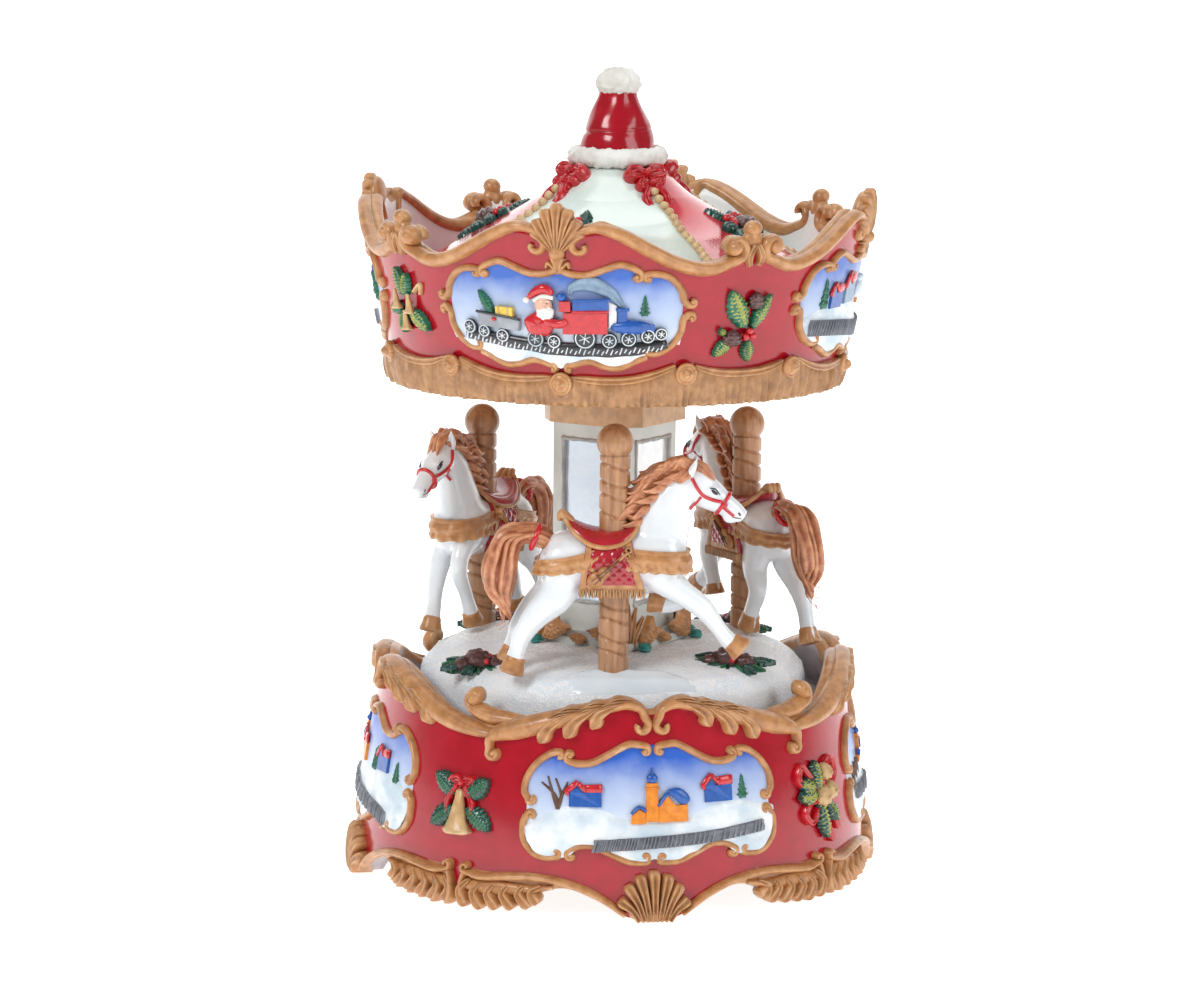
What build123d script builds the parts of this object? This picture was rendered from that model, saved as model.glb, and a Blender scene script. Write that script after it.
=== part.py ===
from build123d import *
import os
from math import cos, pi, radians, sin

# Carousel music box: a hollow resin base with a wind-up music movement inside,
# and above it one turning assembly of turntable, mirrored column, poles, horses and roof.
# Millimetres. Z is the turning axis and the origin is the base's centre on the ground.
# Azimuths are in degrees from the front (-Y), positive towards +X.

# ---------------------------------------------------------------- driving dimensions
SIDES = 4                     # scene panels round the base and round the roof
BASE_YAW = 9.3                # azimuth of the base's front scene panel
ROOF_YAW = -13.2              # azimuth of the roof's front crest at rest
COLUMN_YAW = 12.0             # azimuth of the column's front corner at rest
RUNNING = 0.05                # radial clearance of a shaft in its bearing

# base
WALL = 4.0
WALL_OUTLINE = [(53.6, 2.0), (53.4, 9.0), (52.9, 18.0), (51.7, 27.0), (50.0, 36.0), (48.8, 44.8)]
FOOT_RADIUS = 56.9
FOOT_HEIGHT = 11.5
DECK_BOTTOM = 31.5
DECK_TOP = 35.0
COVER_BOTTOM = 8.5
COVER_THICKNESS = 1.5
COVER_RADIUS = 49.0
KEY_HOLE_RADIUS = 2.6
RIM_VALLEY_AZIMUTH = 31.0     # each side of a scene's centre
RIM_VALLEY_RADIUS = 11.0
RIM_VALLEY_HEIGHT = 48.2
ARCH_AZIMUTH = 20.5
ARCH_RADIUS = 24.0
ARCH_TOP = 5.2

# music movement
PLATE_BOTTOM = 12.0
PLATE_TOP = 13.5
POSTS = [(-16.0, 15.0), (-16.0, -15.0), (29.0, -19.0), (22.0, 27.5)]
POST_RADIUS = 3.0
SCREW_RADIUS = 1.0
AXIS_HEIGHT = 20.0            # of the pinned cylinder, which lies along +X
CROWN_TEETH = 44
PINION_TEETH = 12
CROWN_RADIUS = 16.6
TOOTH_PITCH = 2 * pi * CROWN_RADIUS / CROWN_TEETH
PINION_RADIUS = PINION_TEETH * TOOTH_PITCH / (2 * pi)
ADDENDUM = 0.65
DEDENDUM = 0.85
WHEEL_TEETH = 24
WORM_PITCH = 1.5
WHEEL_RADIUS = WHEEL_TEETH * WORM_PITCH / (2 * pi)
WHEEL_MID_X = 39.4
WORM_RADIUS = 1.35
WORM_Y = -(WHEEL_RADIUS + WORM_RADIUS)
ARBOR_RADIUS = 1.0
KEY_ARBOR_RADIUS = 1.5
HOUSING_RADIUS = 14.0
HOUSING_TOP = 24.3
COMB_TEETH = 18
CYLINDER_START = 20.0
CYLINDER_LENGTH = 17.0
CYLINDER_RADIUS = 5.6
PIN_HEIGHT = 0.5

# turning assembly
SHAFT_RADIUS = 1.5
SHAFT_BOTTOM = 24.8
SHAFT_TOP = 111.0
TURNTABLE_RADIUS = 41.2
TURNTABLE_BOTTOM = 36.4
SNOW_TOP = 48.8
POLE_CIRCLE = 32.8
POLE_RADIUS = 3.15
POLE_BALL_RADIUS = 3.8
POLE_TOPS = [99.3, 96.5, 96.5]
POLE_AZIMUTHS = [0.0, 120.0, 240.0]
COLUMN_SIDE = 19.1
COLUMN_TOP = 95.8
CORNICE_TOP = 104.0
CORNICE_STEP = 4.6
MIRROR_WIDTH = 12.6
MIRROR_BOTTOM = 58.0
MIRROR_TOP = 92.0
MIRROR_THICKNESS = 1.2

# roof
ROOF_FLOOR_TOP = 107.0
VALANCE_OUTLINE = [(46.4, 104.4), (47.4, 110.4), (48.4, 114.0), (50.0, 124.0), (51.6, 133.0),
                   (53.0, 140.0), (53.4, 146.0)]
VALANCE_WALL = 3.0
CREST_VALLEY_AZIMUTH = 27.0
CREST_VALLEY_RADIUS = 14.0
CREST_VALLEY_HEIGHT = 149.2
TENT_EDGE = (46.6, 127.0)
TENT_LEDGE = 123.6
TENT_TOP = 149.0
TENT_TOP_RADIUS = 9.4
HAT_RADIUS = 8.4
POMPOM_CENTRE = 166.3
POMPOM_RADIUS = 5.1
TOTAL_HEIGHT = 170.0

os.makedirs("parts", exist_ok=True)


# ---------------------------------------------------------------- shared helpers
def save(part, name):
    """Label one piece and write its STEP file."""
    part.label = name
    export_step(part, f"parts/{name}.step")


def on_circle(radius, azimuth, height=0.0):
    """Point at an azimuth measured from the front."""
    angle = radians(azimuth)
    return (radius * sin(angle), -radius * cos(angle), height)


def outward_plane(azimuth, radius, height):
    """Upright plane that faces outward at an azimuth: x to its right, y up."""
    angle = radians(azimuth)
    return Plane(
        origin=on_circle(radius, azimuth, height),
        x_dir=(cos(angle), sin(angle), 0),
        z_dir=(sin(angle), -cos(angle), 0),
    )


def turned(points):
    """Solid of revolution about Z from (radius, height) corners."""
    with BuildPart() as body:
        with BuildSketch(Plane.XZ):
            with BuildLine():
                Polyline(*points, close=True)
            make_face()
        revolve(axis=Axis.Z)
    return body.part


def wall_shell(outline, thickness, proud=0.0):
    """Turned wall whose outside runs smoothly through the outline, set out by proud."""
    outside = [(radius + proud, height) for radius, height in outline]
    inside = [(radius - thickness, height) for radius, height in outline]
    with BuildPart() as wall:
        with BuildSketch(Plane.XZ):
            with BuildLine():
                Spline(*outside)
                Line(outside[-1], inside[-1])
                Spline(*inside)
                Line(inside[0], outside[0])
            make_face()
        revolve(axis=Axis.Z)
    return wall.part


def panel_frame(azimuth, width, bottom, top, border, band):
    """Raised picture frame that follows the wall band it is cut from."""
    with BuildPart() as frame:
        with BuildSketch(outward_plane(azimuth, 70.0, (bottom + top) / 2)):
            RectangleRounded(width, top - bottom, 5.0)
            RectangleRounded(width - 2 * border, top - bottom - 2 * border, 4.0, mode=Mode.SUBTRACT)
        extrude(amount=-40.0)
        add(band, mode=Mode.INTERSECT)
    return frame.part


def tube(sections):
    """Loft through ellipses along a path: (forward, side, height, half width, half depth)."""
    centres = [Vector(forward, side, height) for forward, side, height, _, _ in sections]
    last = len(centres) - 1
    with BuildPart() as piece:
        for index, (_, _, _, half_width, half_depth) in enumerate(sections):
            along = centres[min(index + 1, last)] - centres[max(index - 1, 0)]
            with BuildSketch(Plane(origin=centres[index], x_dir=(0, 1, 0), z_dir=along)):
                Ellipse(half_width, half_depth)
        loft()
    return piece.part


def screw(radius, length, head_radius, head_height):
    """Cheese-head screw, head downward, with its head's underside at z = 0."""
    with BuildPart() as body:
        Cylinder(head_radius, head_height, align=(Align.CENTER, Align.CENTER, Align.MAX))
        Cylinder(radius, length, align=(Align.CENTER, Align.CENTER, Align.MIN))
        with Locations((0, 0, -head_height)):
            Box(2 * head_radius, 0.5, 0.8, mode=Mode.SUBTRACT)
    return body.part


# ---------------------------------------------------------------- base
FRAME_BAND = wall_shell(WALL_OUTLINE, 2.0, proud=1.3)
COVER_SCREW_CIRCLE = 45.0
COVER_SCREW_AZIMUTHS = [40.0, 160.0, 280.0]

with BuildPart() as base_shell:
    add(wall_shell(WALL_OUTLINE, WALL))
    # deck under the turntable, with the bush hole
    with BuildSketch(Plane.XY.offset(DECK_BOTTOM)):
        Circle(48.0)
    extrude(amount=DECK_TOP - DECK_BOTTOM)
    # ledge that the bottom cover is screwed to
    add(turned([(50.0, 10.0), (43.0, 10.0), (47.2, 16.0), (50.0, 16.0)]))
    with BuildSketch(Plane.XY.offset(COVER_BOTTOM + COVER_THICKNESS)):
        with PolarLocations(COVER_SCREW_CIRCLE, 3, start_angle=COVER_SCREW_AZIMUTHS[0] - 90):
            Circle(3.2)
    extrude(amount=8.0)
    # posts that carry the movement
    with BuildSketch(Plane.XY.offset(PLATE_TOP)):
        with Locations(*POSTS):
            Circle(POST_RADIUS)
    extrude(amount=DECK_BOTTOM - PLATE_TOP + 1.0)
    # raised rail round the foot, and the wave of the rim
    add(turned([(52.0, 2.0), (54.9, 2.4), (55.2, 4.5), (54.0, 7.0), (52.0, 7.0)]))
    add(turned([(46.0, 40.5), (49.5, 40.5), (50.8, 43.0), (50.0, 45.5), (46.2, 45.5)]))
    for side in range(SIDES):
        centre = BASE_YAW + side * 360 / SIDES
        for sign in (-1, 1):
            with BuildSketch(outward_plane(centre + sign * RIM_VALLEY_AZIMUTH, 60.0, RIM_VALLEY_HEIGHT)):
                Circle(RIM_VALLEY_RADIUS)
            extrude(amount=-18.0, mode=Mode.SUBTRACT)
            with BuildSketch(outward_plane(centre + sign * ARCH_AZIMUTH, 62.0, ARCH_TOP - ARCH_RADIUS)):
                Circle(ARCH_RADIUS)
            extrude(amount=-20.0, mode=Mode.SUBTRACT)
    for side in range(SIDES):
        centre = BASE_YAW + side * 360 / SIDES
        # scene frame, fluted shell foot and the corner scroll on the rim
        add(panel_frame(centre, 53.0, 12.5, 36.5, 2.2, FRAME_BAND))
        with BuildSketch(outward_plane(centre, FOOT_RADIUS, 0.0)):
            with BuildLine():
                Polyline((-3.6, 0), (3.6, 0), (7.2, 5.5))
                ThreePointArc((7.2, 5.5), (0, FOOT_HEIGHT), (-7.2, 5.5))
                Line((-7.2, 5.5), (-3.6, 0))
            make_face()
        extrude(amount=-7.0)
        with BuildSketch(outward_plane(centre + 45.0, 51.6, 42.2)):
            Circle(2.8)
        extrude(amount=-5.5)
        # low lobed leaf at each side of the corner
        for sign in (-1, 1):
            with BuildSketch(outward_plane(centre + 45.0 + sign * 9.0, 55.6, 3.6)):
                Ellipse(6.0, 2.8)
            extrude(amount=-5.0)
    with BuildSketch(Plane.XY.offset(DECK_BOTTOM - 1)):
        Circle(3.5)
    extrude(amount=10.0, mode=Mode.SUBTRACT)
    # screw holes from below
    with BuildSketch(Plane.XY.offset(PLATE_TOP)):
        with Locations(*POSTS):
            Circle(SCREW_RADIUS)
    extrude(amount=8.0, mode=Mode.SUBTRACT)
    with BuildSketch(Plane.XY.offset(COVER_BOTTOM + COVER_THICKNESS)):
        with PolarLocations(COVER_SCREW_CIRCLE, 3, start_angle=COVER_SCREW_AZIMUTHS[0] - 90):
            Circle(SCREW_RADIUS)
    extrude(amount=6.0, mode=Mode.SUBTRACT)
save(base_shell.part, "base_shell")

with BuildPart() as bottom_cover:
    with BuildSketch(Plane.XY.offset(COVER_BOTTOM)):
        Circle(COVER_RADIUS)
        Circle(KEY_HOLE_RADIUS, mode=Mode.SUBTRACT)
        with PolarLocations(COVER_SCREW_CIRCLE, 3, start_angle=COVER_SCREW_AZIMUTHS[0] - 90):
            Circle(SCREW_RADIUS + 0.2, mode=Mode.SUBTRACT)
    extrude(amount=COVER_THICKNESS)
save(bottom_cover.part, "bottom_cover")

with BuildPart() as cover_screws:
    with Locations(*[on_circle(COVER_SCREW_CIRCLE, azimuth, COVER_BOTTOM)
                     for azimuth in COVER_SCREW_AZIMUTHS]):
        add(screw(SCREW_RADIUS, 6.5, 2.1, 1.3))
save(cover_screws.part, "cover_screws")

BUSH_RADIUS = 3.5
with BuildPart() as shaft_bush:
    add(turned([
        (SHAFT_RADIUS + RUNNING, DECK_BOTTOM - 1.0), (5.2, DECK_BOTTOM - 1.0), (5.2, DECK_BOTTOM),
        (BUSH_RADIUS, DECK_BOTTOM), (BUSH_RADIUS, DECK_TOP + 0.8), (SHAFT_RADIUS + RUNNING, DECK_TOP + 0.8),
    ]))
save(shaft_bush.part, "shaft_bush")

# ---------------------------------------------------------------- music movement
with BuildPart() as movement_bedplate:
    with BuildSketch(Plane.XY.offset(PLATE_BOTTOM)):
        with BuildLine():
            Polyline((-20, -19), (24, -23), (34, -21), (42.5, -12), (42.5, 10), (28, 31), (18, 31),
                     (-20, 19), close=True)
        make_face()
        Circle(KEY_ARBOR_RADIUS + RUNNING, mode=Mode.SUBTRACT)
        with Locations(*POSTS):
            Circle(SCREW_RADIUS + 0.2, mode=Mode.SUBTRACT)
    extrude(amount=PLATE_TOP - PLATE_BOTTOM)
    # raised land under the comb
    with BuildSketch(Plane.XY.offset(PLATE_TOP)):
        with Locations((28.5, 18.3)):
            Rectangle(18.0, 6.0)
    extrude(amount=6.0)
    with BuildSketch(Plane.XY.offset(PLATE_TOP + 6.0)):
        with Locations((23.0, 18.6), (34.0, 18.6)):
            Circle(SCREW_RADIUS)
    extrude(amount=-5.0, mode=Mode.SUBTRACT)
save(movement_bedplate.part, "movement_bedplate")

with BuildPart() as bedplate_screws:
    with Locations(*[(x, y, PLATE_BOTTOM) for x, y in POSTS]):
        add(screw(SCREW_RADIUS, 8.0, 2.2, 1.2))
save(bedplate_screws.part, "bedplate_screws")

with BuildPart() as spring_housing:
    add(turned([
        (HOUSING_RADIUS, PLATE_TOP), (HOUSING_RADIUS, HOUSING_TOP), (KEY_ARBOR_RADIUS + RUNNING, HOUSING_TOP),
        (KEY_ARBOR_RADIUS + RUNNING, HOUSING_TOP - 1.0), (HOUSING_RADIUS - 0.9, HOUSING_TOP - 1.0),
        (HOUSING_RADIUS - 0.9, PLATE_TOP),
    ]))
save(spring_housing.part, "spring_housing")

SPRING_TURNS = 7
with BuildPart() as mainspring:
    # ribbon wound as rings that step outward, joined into one strip
    with BuildSketch(Plane.XY.offset(PLATE_TOP + 0.6)):
        for turn in range(SPRING_TURNS):
            radius = 3.4 + turn * 1.4
            Circle(radius + 0.2)
            Circle(radius - 0.2, mode=Mode.SUBTRACT)
    extrude(amount=8.0)
    for turn in range(SPRING_TURNS - 1):
        with BuildSketch(Plane.XY.offset(PLATE_TOP + 0.6)):
            with Locations((3.4 + (turn + 0.5) * 1.4, 0)):
                Rectangle(1.4, 0.6)
        extrude(amount=8.0)
save(mainspring.part, "mainspring")

with BuildPart() as winding_arbor:
    with BuildSketch(Plane.XY.offset(3.0)):
        Circle(KEY_ARBOR_RADIUS)
    extrude(amount=HOUSING_TOP - 3.0)
    # collar that the mainspring hooks to
    with BuildSketch(Plane.XY.offset(PLATE_TOP + 0.3)):
        Circle(2.6)
    extrude(amount=8.6)
save(winding_arbor.part, "winding_arbor")

KEY_BOTTOM = 1.0
KEY_SPAN = 24.0
with BuildPart() as winding_key:
    with BuildSketch(Plane.XY.offset(2.0)):
        Circle(3.2)
    extrude(amount=5.8)
    with BuildSketch(Plane.XZ):
        with BuildLine():
            Polyline((-3, 3.2), (-3, 5.4), (-7, 6.8), (-KEY_SPAN / 2, 6.4), (-KEY_SPAN / 2, KEY_BOTTOM + 0.6),
                     (-9, KEY_BOTTOM), (9, KEY_BOTTOM), (KEY_SPAN / 2, KEY_BOTTOM + 0.6), (KEY_SPAN / 2, 6.4),
                     (7, 6.8), (3, 5.4), (3, 3.2), close=True)
        make_face()
    extrude(amount=0.8, both=True)
    with BuildSketch(Plane.XZ):
        with Locations((-8.4, 3.9), (8.4, 3.9)):
            Circle(1.6)
    extrude(amount=2.0, both=True, mode=Mode.SUBTRACT)
    with BuildSketch(Plane.XY.offset(3.0)):
        Circle(KEY_ARBOR_RADIUS)
    extrude(amount=10.0, mode=Mode.SUBTRACT)
save(winding_key.part, "winding_key")


def gear_blank(root_radius, outer_radius, teeth, root_width, tip_width, first_angle):
    """Straight-tooth gear outline about its own centre, one tooth at first_angle."""
    Circle(root_radius)
    with PolarLocations(0, teeth, start_angle=first_angle):
        Polygon((root_radius - 0.3, -root_width / 2), (outer_radius, -tip_width / 2),
                (outer_radius, tip_width / 2), (root_radius - 0.3, root_width / 2), align=None)


def across(x):
    """Plane square to the pinned cylinder's axis at x, its own x axis along +Y."""
    return Plane(origin=(x, 0, AXIS_HEIGHT), x_dir=(0, 1, 0), z_dir=(1, 0, 0))


with BuildPart() as crown_gear:
    with BuildSketch(Plane.XY.offset(AXIS_HEIGHT + PINION_RADIUS + DEDENDUM + 0.3)):
        Circle(CROWN_RADIUS + 1.4)
        Circle(SHAFT_RADIUS, mode=Mode.SUBTRACT)
    extrude(amount=1.3)
    pitch_height = AXIS_HEIGHT + PINION_RADIUS
    for tooth in range(CROWN_TEETH):
        azimuth = 90.0 + tooth * 360 / CROWN_TEETH
        with BuildSketch(outward_plane(azimuth, CROWN_RADIUS + 1.2, pitch_height)):
            Polygon((-0.5, DEDENDUM + 0.5), (-0.25, -ADDENDUM), (0.25, -ADDENDUM), (0.5, DEDENDUM + 0.5),
                    align=None)
    extrude(amount=-2.4)
    with BuildSketch(Plane.XY.offset(pitch_height + DEDENDUM + 0.3)):
        Circle(3.4)
        Circle(SHAFT_RADIUS, mode=Mode.SUBTRACT)
    extrude(amount=3.2)
save(crown_gear.part, "crown_gear")

with BuildPart() as cylinder_pinion:
    with BuildSketch(across(15.4)):
        gear_blank(PINION_RADIUS - DEDENDUM, PINION_RADIUS + ADDENDUM, PINION_TEETH, 1.15, 0.5,
                   90.0 + 180.0 / PINION_TEETH)
        Circle(ARBOR_RADIUS, mode=Mode.SUBTRACT)
    extrude(amount=2.2)
save(cylinder_pinion.part, "cylinder_pinion")

with BuildPart() as cylinder_arbor:
    with BuildSketch(across(15.0)):
        Circle(ARBOR_RADIUS)
    extrude(amount=27.6)
save(cylinder_arbor.part, "cylinder_arbor")

PINS_PER_TRACK = 5
with BuildPart() as music_cylinder:
    with BuildSketch(across(CYLINDER_START)):
        Circle(CYLINDER_RADIUS)
        Circle(ARBOR_RADIUS, mode=Mode.SUBTRACT)
    extrude(amount=CYLINDER_LENGTH)
    for pin in range(COMB_TEETH * PINS_PER_TRACK):
        track = pin % COMB_TEETH
        turn = radians(137.5 * pin)
        x = CYLINDER_START + (track + 0.5) * CYLINDER_LENGTH / COMB_TEETH
        foot = CYLINDER_RADIUS - 0.3
        with BuildSketch(Plane(
                origin=(x, foot * cos(turn), AXIS_HEIGHT + foot * sin(turn)),
                z_dir=(0, cos(turn), sin(turn)))):
            Circle(0.2)
    extrude(amount=PIN_HEIGHT + 0.3)
save(music_cylinder.part, "music_cylinder")

with BuildPart() as governor_wheel:
    with BuildSketch(across(WHEEL_MID_X - 0.5)):
        gear_blank(WHEEL_RADIUS - 0.6, WHEEL_RADIUS + 0.42, WHEEL_TEETH, 0.62, 0.3, 180.0 / WHEEL_TEETH)
        Circle(ARBOR_RADIUS, mode=Mode.SUBTRACT)
    extrude(amount=1.0)
save(governor_wheel.part, "governor_wheel")

WORM_ARBOR_RADIUS = 0.75
THREAD_START = AXIS_HEIGHT - WORM_PITCH / 4 - 2 * WORM_PITCH
with BuildPart() as governor_worm:
    with BuildSketch(Plane(origin=(WHEEL_MID_X, WORM_Y, PLATE_TOP + 0.4))):
        Circle(WORM_ARBOR_RADIUS)
    extrude(amount=16.9)
    with BuildLine():
        thread_path = Helix(WORM_PITCH, 4 * WORM_PITCH, WORM_RADIUS,
                            center=(WHEEL_MID_X, WORM_Y, THREAD_START))
    with BuildSketch(Plane(origin=thread_path @ 0, x_dir=(1, 0, 0), z_dir=thread_path % 0)):
        Polygon((-0.7, -0.28), (0.42, -0.14), (0.42, 0.14), (-0.7, 0.28), align=None)
    sweep(path=thread_path, is_frenet=True)
save(governor_worm.part, "governor_worm")

VANE_BOTTOM = 26.9
with BuildPart() as governor_vanes:
    with BuildSketch(Plane.XY.offset(VANE_BOTTOM)):
        with Locations((WHEEL_MID_X, WORM_Y)):
            Rectangle(8.4, 0.5)
            Circle(1.5)
            Circle(WORM_ARBOR_RADIUS, mode=Mode.SUBTRACT)
    extrude(amount=2.4)
save(governor_vanes.part, "governor_vanes")

BRACKET_DEPTH = 9.4
with BuildPart() as governor_bracket:
    # foot, upright and top arm; the worm's arbor turns in the foot and in the arm
    for bottom, height, depth in [(0.0, 1.2, BRACKET_DEPTH), (0.0, 17.2, 2.6), (16.2, 1.0, BRACKET_DEPTH)]:
        with BuildSketch(Plane.XY.offset(PLATE_TOP + bottom)):
            with Locations((WHEEL_MID_X - 1.6, WORM_Y + 1.8 - BRACKET_DEPTH)):
                Rectangle(6.4, depth, align=(Align.CENTER, Align.MIN))
        extrude(amount=height)
    with BuildSketch(Plane.XY.offset(PLATE_TOP)):
        with Locations((WHEEL_MID_X, WORM_Y)):
            Circle(WORM_ARBOR_RADIUS + RUNNING)
    extrude(amount=20.0, mode=Mode.SUBTRACT)
save(governor_bracket.part, "governor_bracket")


def bearing(x, thickness):
    """Upright plate that carries one end of the cylinder's arbor."""
    with BuildPart() as plate:
        with BuildSketch(across(x)):
            Circle(3.0)
            with Locations((0, (PLATE_TOP - AXIS_HEIGHT) / 2)):
                Rectangle(6.0, AXIS_HEIGHT - PLATE_TOP)
            Circle(ARBOR_RADIUS + RUNNING, mode=Mode.SUBTRACT)
        extrude(amount=thickness)
    return plate.part


save(bearing(18.3, 1.2), "cylinder_bearing_inner")
save(bearing(40.6, 1.4), "cylinder_bearing_outer")

COMB_TIP = CYLINDER_RADIUS + PIN_HEIGHT + 0.25
COMB_HEIGHT = PLATE_TOP + 6.0
with BuildPart() as comb:
    with BuildSketch(Plane.XY.offset(COMB_HEIGHT)):
        with Locations((28.5, 18.3)):
            Rectangle(17.6, 6.0)
        for tooth in range(COMB_TEETH):
            x = CYLINDER_START + (tooth + 0.5) * CYLINDER_LENGTH / COMB_TEETH
            with Locations((x, (COMB_TIP + 15.6) / 2)):
                Rectangle(0.62, 15.6 - COMB_TIP)
        with Locations((23.0, 18.6), (34.0, 18.6)):
            Circle(SCREW_RADIUS + 0.2, mode=Mode.SUBTRACT)
    extrude(amount=0.9)
save(comb.part, "comb")

with BuildPart() as comb_screws:
    with BuildSketch(Plane.XY.offset(COMB_HEIGHT - 4.5)):
        with Locations((23.0, 18.6), (34.0, 18.6)):
            Circle(SCREW_RADIUS)
    extrude(amount=5.4)
    with BuildSketch(Plane.XY.offset(COMB_HEIGHT + 0.9)):
        with Locations((23.0, 18.6), (34.0, 18.6)):
            Circle(2.0)
            Rectangle(4.2, 0.5, mode=Mode.SUBTRACT)
    extrude(amount=1.2)
    with BuildSketch(Plane.XY.offset(COMB_HEIGHT + 0.9)):
        with Locations((23.0, 18.6), (34.0, 18.6)):
            Circle(2.0)
    extrude(amount=0.5)
save(comb_screws.part, "comb_screws")

# ---------------------------------------------------------------- turntable, column and shaft
with BuildPart() as carousel_shaft:
    with BuildSketch(Plane.XY.offset(SHAFT_BOTTOM)):
        Circle(SHAFT_RADIUS)
    extrude(amount=SHAFT_TOP - SHAFT_BOTTOM)
save(carousel_shaft.part, "carousel_shaft")

with BuildPart() as turntable:
    with BuildSketch(Plane.XZ):
        with BuildLine():
            Polyline((SHAFT_RADIUS, TURNTABLE_BOTTOM), (TURNTABLE_RADIUS - 0.8, TURNTABLE_BOTTOM),
                     (TURNTABLE_RADIUS, 38.0))
            Spline((TURNTABLE_RADIUS, 38.0), (TURNTABLE_RADIUS - 0.1, 41.5), (39.6, 44.6), (36.0, 46.9),
                   (28.0, 48.4), (16.0, SNOW_TOP))
            Polyline((16.0, SNOW_TOP), (SHAFT_RADIUS, SNOW_TOP), (SHAFT_RADIUS, TURNTABLE_BOTTOM))
        make_face()
    revolve(axis=Axis.Z)
    # sockets for the poles
    with BuildSketch(Plane.XY.offset(43.0)):
        with Locations(*[on_circle(POLE_CIRCLE, azimuth) for azimuth in POLE_AZIMUTHS]):
            Circle(POLE_RADIUS + 0.02)
    extrude(amount=10.0, mode=Mode.SUBTRACT)
save(turntable.part, "turntable")

with BuildPart() as column:
    with BuildSketch(Plane.XY.rotated((0, 0, COLUMN_YAW + 45)).offset(SNOW_TOP)):
        RectangleRounded(24.4, 24.4, 1.5)
    extrude(amount=1.6)
    with BuildSketch(Plane.XY.rotated((0, 0, COLUMN_YAW + 45)).offset(SNOW_TOP + 1.6)):
        Rectangle(22.4, 22.4)
    extrude(amount=1.4)
    with BuildSketch(Plane.XY.rotated((0, 0, COLUMN_YAW + 45)).offset(SNOW_TOP + 3.0)):
        RectangleRounded(COLUMN_SIDE, COLUMN_SIDE, 0.8)
    extrude(amount=COLUMN_TOP - SNOW_TOP - 3.0)
    for face in range(SIDES):
        azimuth = COLUMN_YAW + 45 + face * 90
        with BuildSketch(outward_plane(azimuth, COLUMN_SIDE / 2 - 0.6, (MIRROR_BOTTOM + MIRROR_TOP) / 2)):
            Rectangle(MIRROR_WIDTH, MIRROR_TOP - MIRROR_BOTTOM)
        extrude(amount=1.0, mode=Mode.SUBTRACT)
        with BuildSketch(outward_plane(azimuth, COLUMN_SIDE / 2 - 0.6, (MIRROR_BOTTOM + MIRROR_TOP) / 2)):
            Rectangle(MIRROR_WIDTH, MIRROR_TOP - MIRROR_BOTTOM)
        extrude(amount=-MIRROR_THICKNESS, mode=Mode.SUBTRACT)
    with BuildSketch(Plane.XY.offset(SNOW_TOP)):
        Circle(SHAFT_RADIUS + 0.02)
    extrude(amount=60.0, mode=Mode.SUBTRACT)
save(column.part, "column")

for face in range(SIDES):
    with BuildPart() as mirror_plate:
        with BuildSketch(outward_plane(COLUMN_YAW + 45 + face * 90, COLUMN_SIDE / 2 - 0.6,
                                       (MIRROR_BOTTOM + MIRROR_TOP) / 2)):
            Rectangle(MIRROR_WIDTH, MIRROR_TOP - MIRROR_BOTTOM)
        extrude(amount=-MIRROR_THICKNESS)
    save(mirror_plate.part, f"mirror_{face + 1}")

with BuildPart() as column_cornice:
    for bottom, height, width in [(COLUMN_TOP, CORNICE_STEP, 24.6),
                                  (COLUMN_TOP + CORNICE_STEP, CORNICE_TOP - COLUMN_TOP - CORNICE_STEP, 21.0)]:
        with BuildSketch(Plane.XY.rotated((0, 0, COLUMN_YAW + 45)).offset(bottom)) as slab:
            Rectangle(width, width)
            chamfer(slab.vertices(), 4.0)
        extrude(amount=height)
    with BuildSketch(Plane.XY.offset(COLUMN_TOP)):
        Circle(SHAFT_RADIUS + 0.02)
    extrude(amount=20.0, mode=Mode.SUBTRACT)
save(column_cornice.part, "column_cornice")

# ---------------------------------------------------------------- poles and horses
for index, (azimuth, top) in enumerate(zip(POLE_AZIMUTHS, POLE_TOPS)):
    x, y, _ = on_circle(POLE_CIRCLE, azimuth)
    with BuildPart() as pole:
        with BuildSketch(Plane(origin=(x, y, 43.0))):
            Circle(POLE_RADIUS)
        extrude(amount=top - POLE_BALL_RADIUS - 43.0)
        with Locations((x, y, top - POLE_BALL_RADIUS)):
            Sphere(POLE_BALL_RADIUS)
    save(pole.part, f"pole_{index + 1}")

# Each leg is a path from the body to the hoof; side is negative on the outer side.
TORSO = [(-15.4, 0, 71.0, 2.2, 2.4), (-13.6, 0, 70.6, 4.5, 5.2), (-9.5, 0, 70.6, 5.8, 6.8),
         (-3.5, 0, 70.5, 5.6, 6.5), (3.0, 0, 70.7, 5.6, 6.8), (9.0, 0, 71.4, 5.6, 7.3),
         (13.0, 0, 72.0, 4.5, 5.6), (15.0, 0, 72.4, 2.2, 2.6)]
NECK = [(8.6, 0, 74.0, 4.6, 6.6), (10.2, 0, 79.0, 3.8, 5.8), (12.0, 0, 83.6, 3.2, 4.8),
        (14.6, 0, 87.6, 2.6, 3.6)]
HEAD = [(13.6, 0, 88.8, 2.0, 2.4), (16.4, 0, 87.0, 2.8, 3.7), (19.4, 0, 84.9, 2.8, 3.6),
        (22.6, 0, 82.8, 2.3, 2.7), (25.2, 0, 81.0, 1.9, 2.1), (26.8, 0, 79.9, 1.4, 1.5)]
MANE = [(14.5, 0, 91.0, 1.0, 1.3), (11.0, 0, 88.6, 1.3, 1.8), (8.0, 0, 85.6, 1.3, 2.0),
        (5.4, 0, 82.2, 1.2, 1.8), (3.9, 0, 79.4, 0.9, 1.3)]
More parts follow.
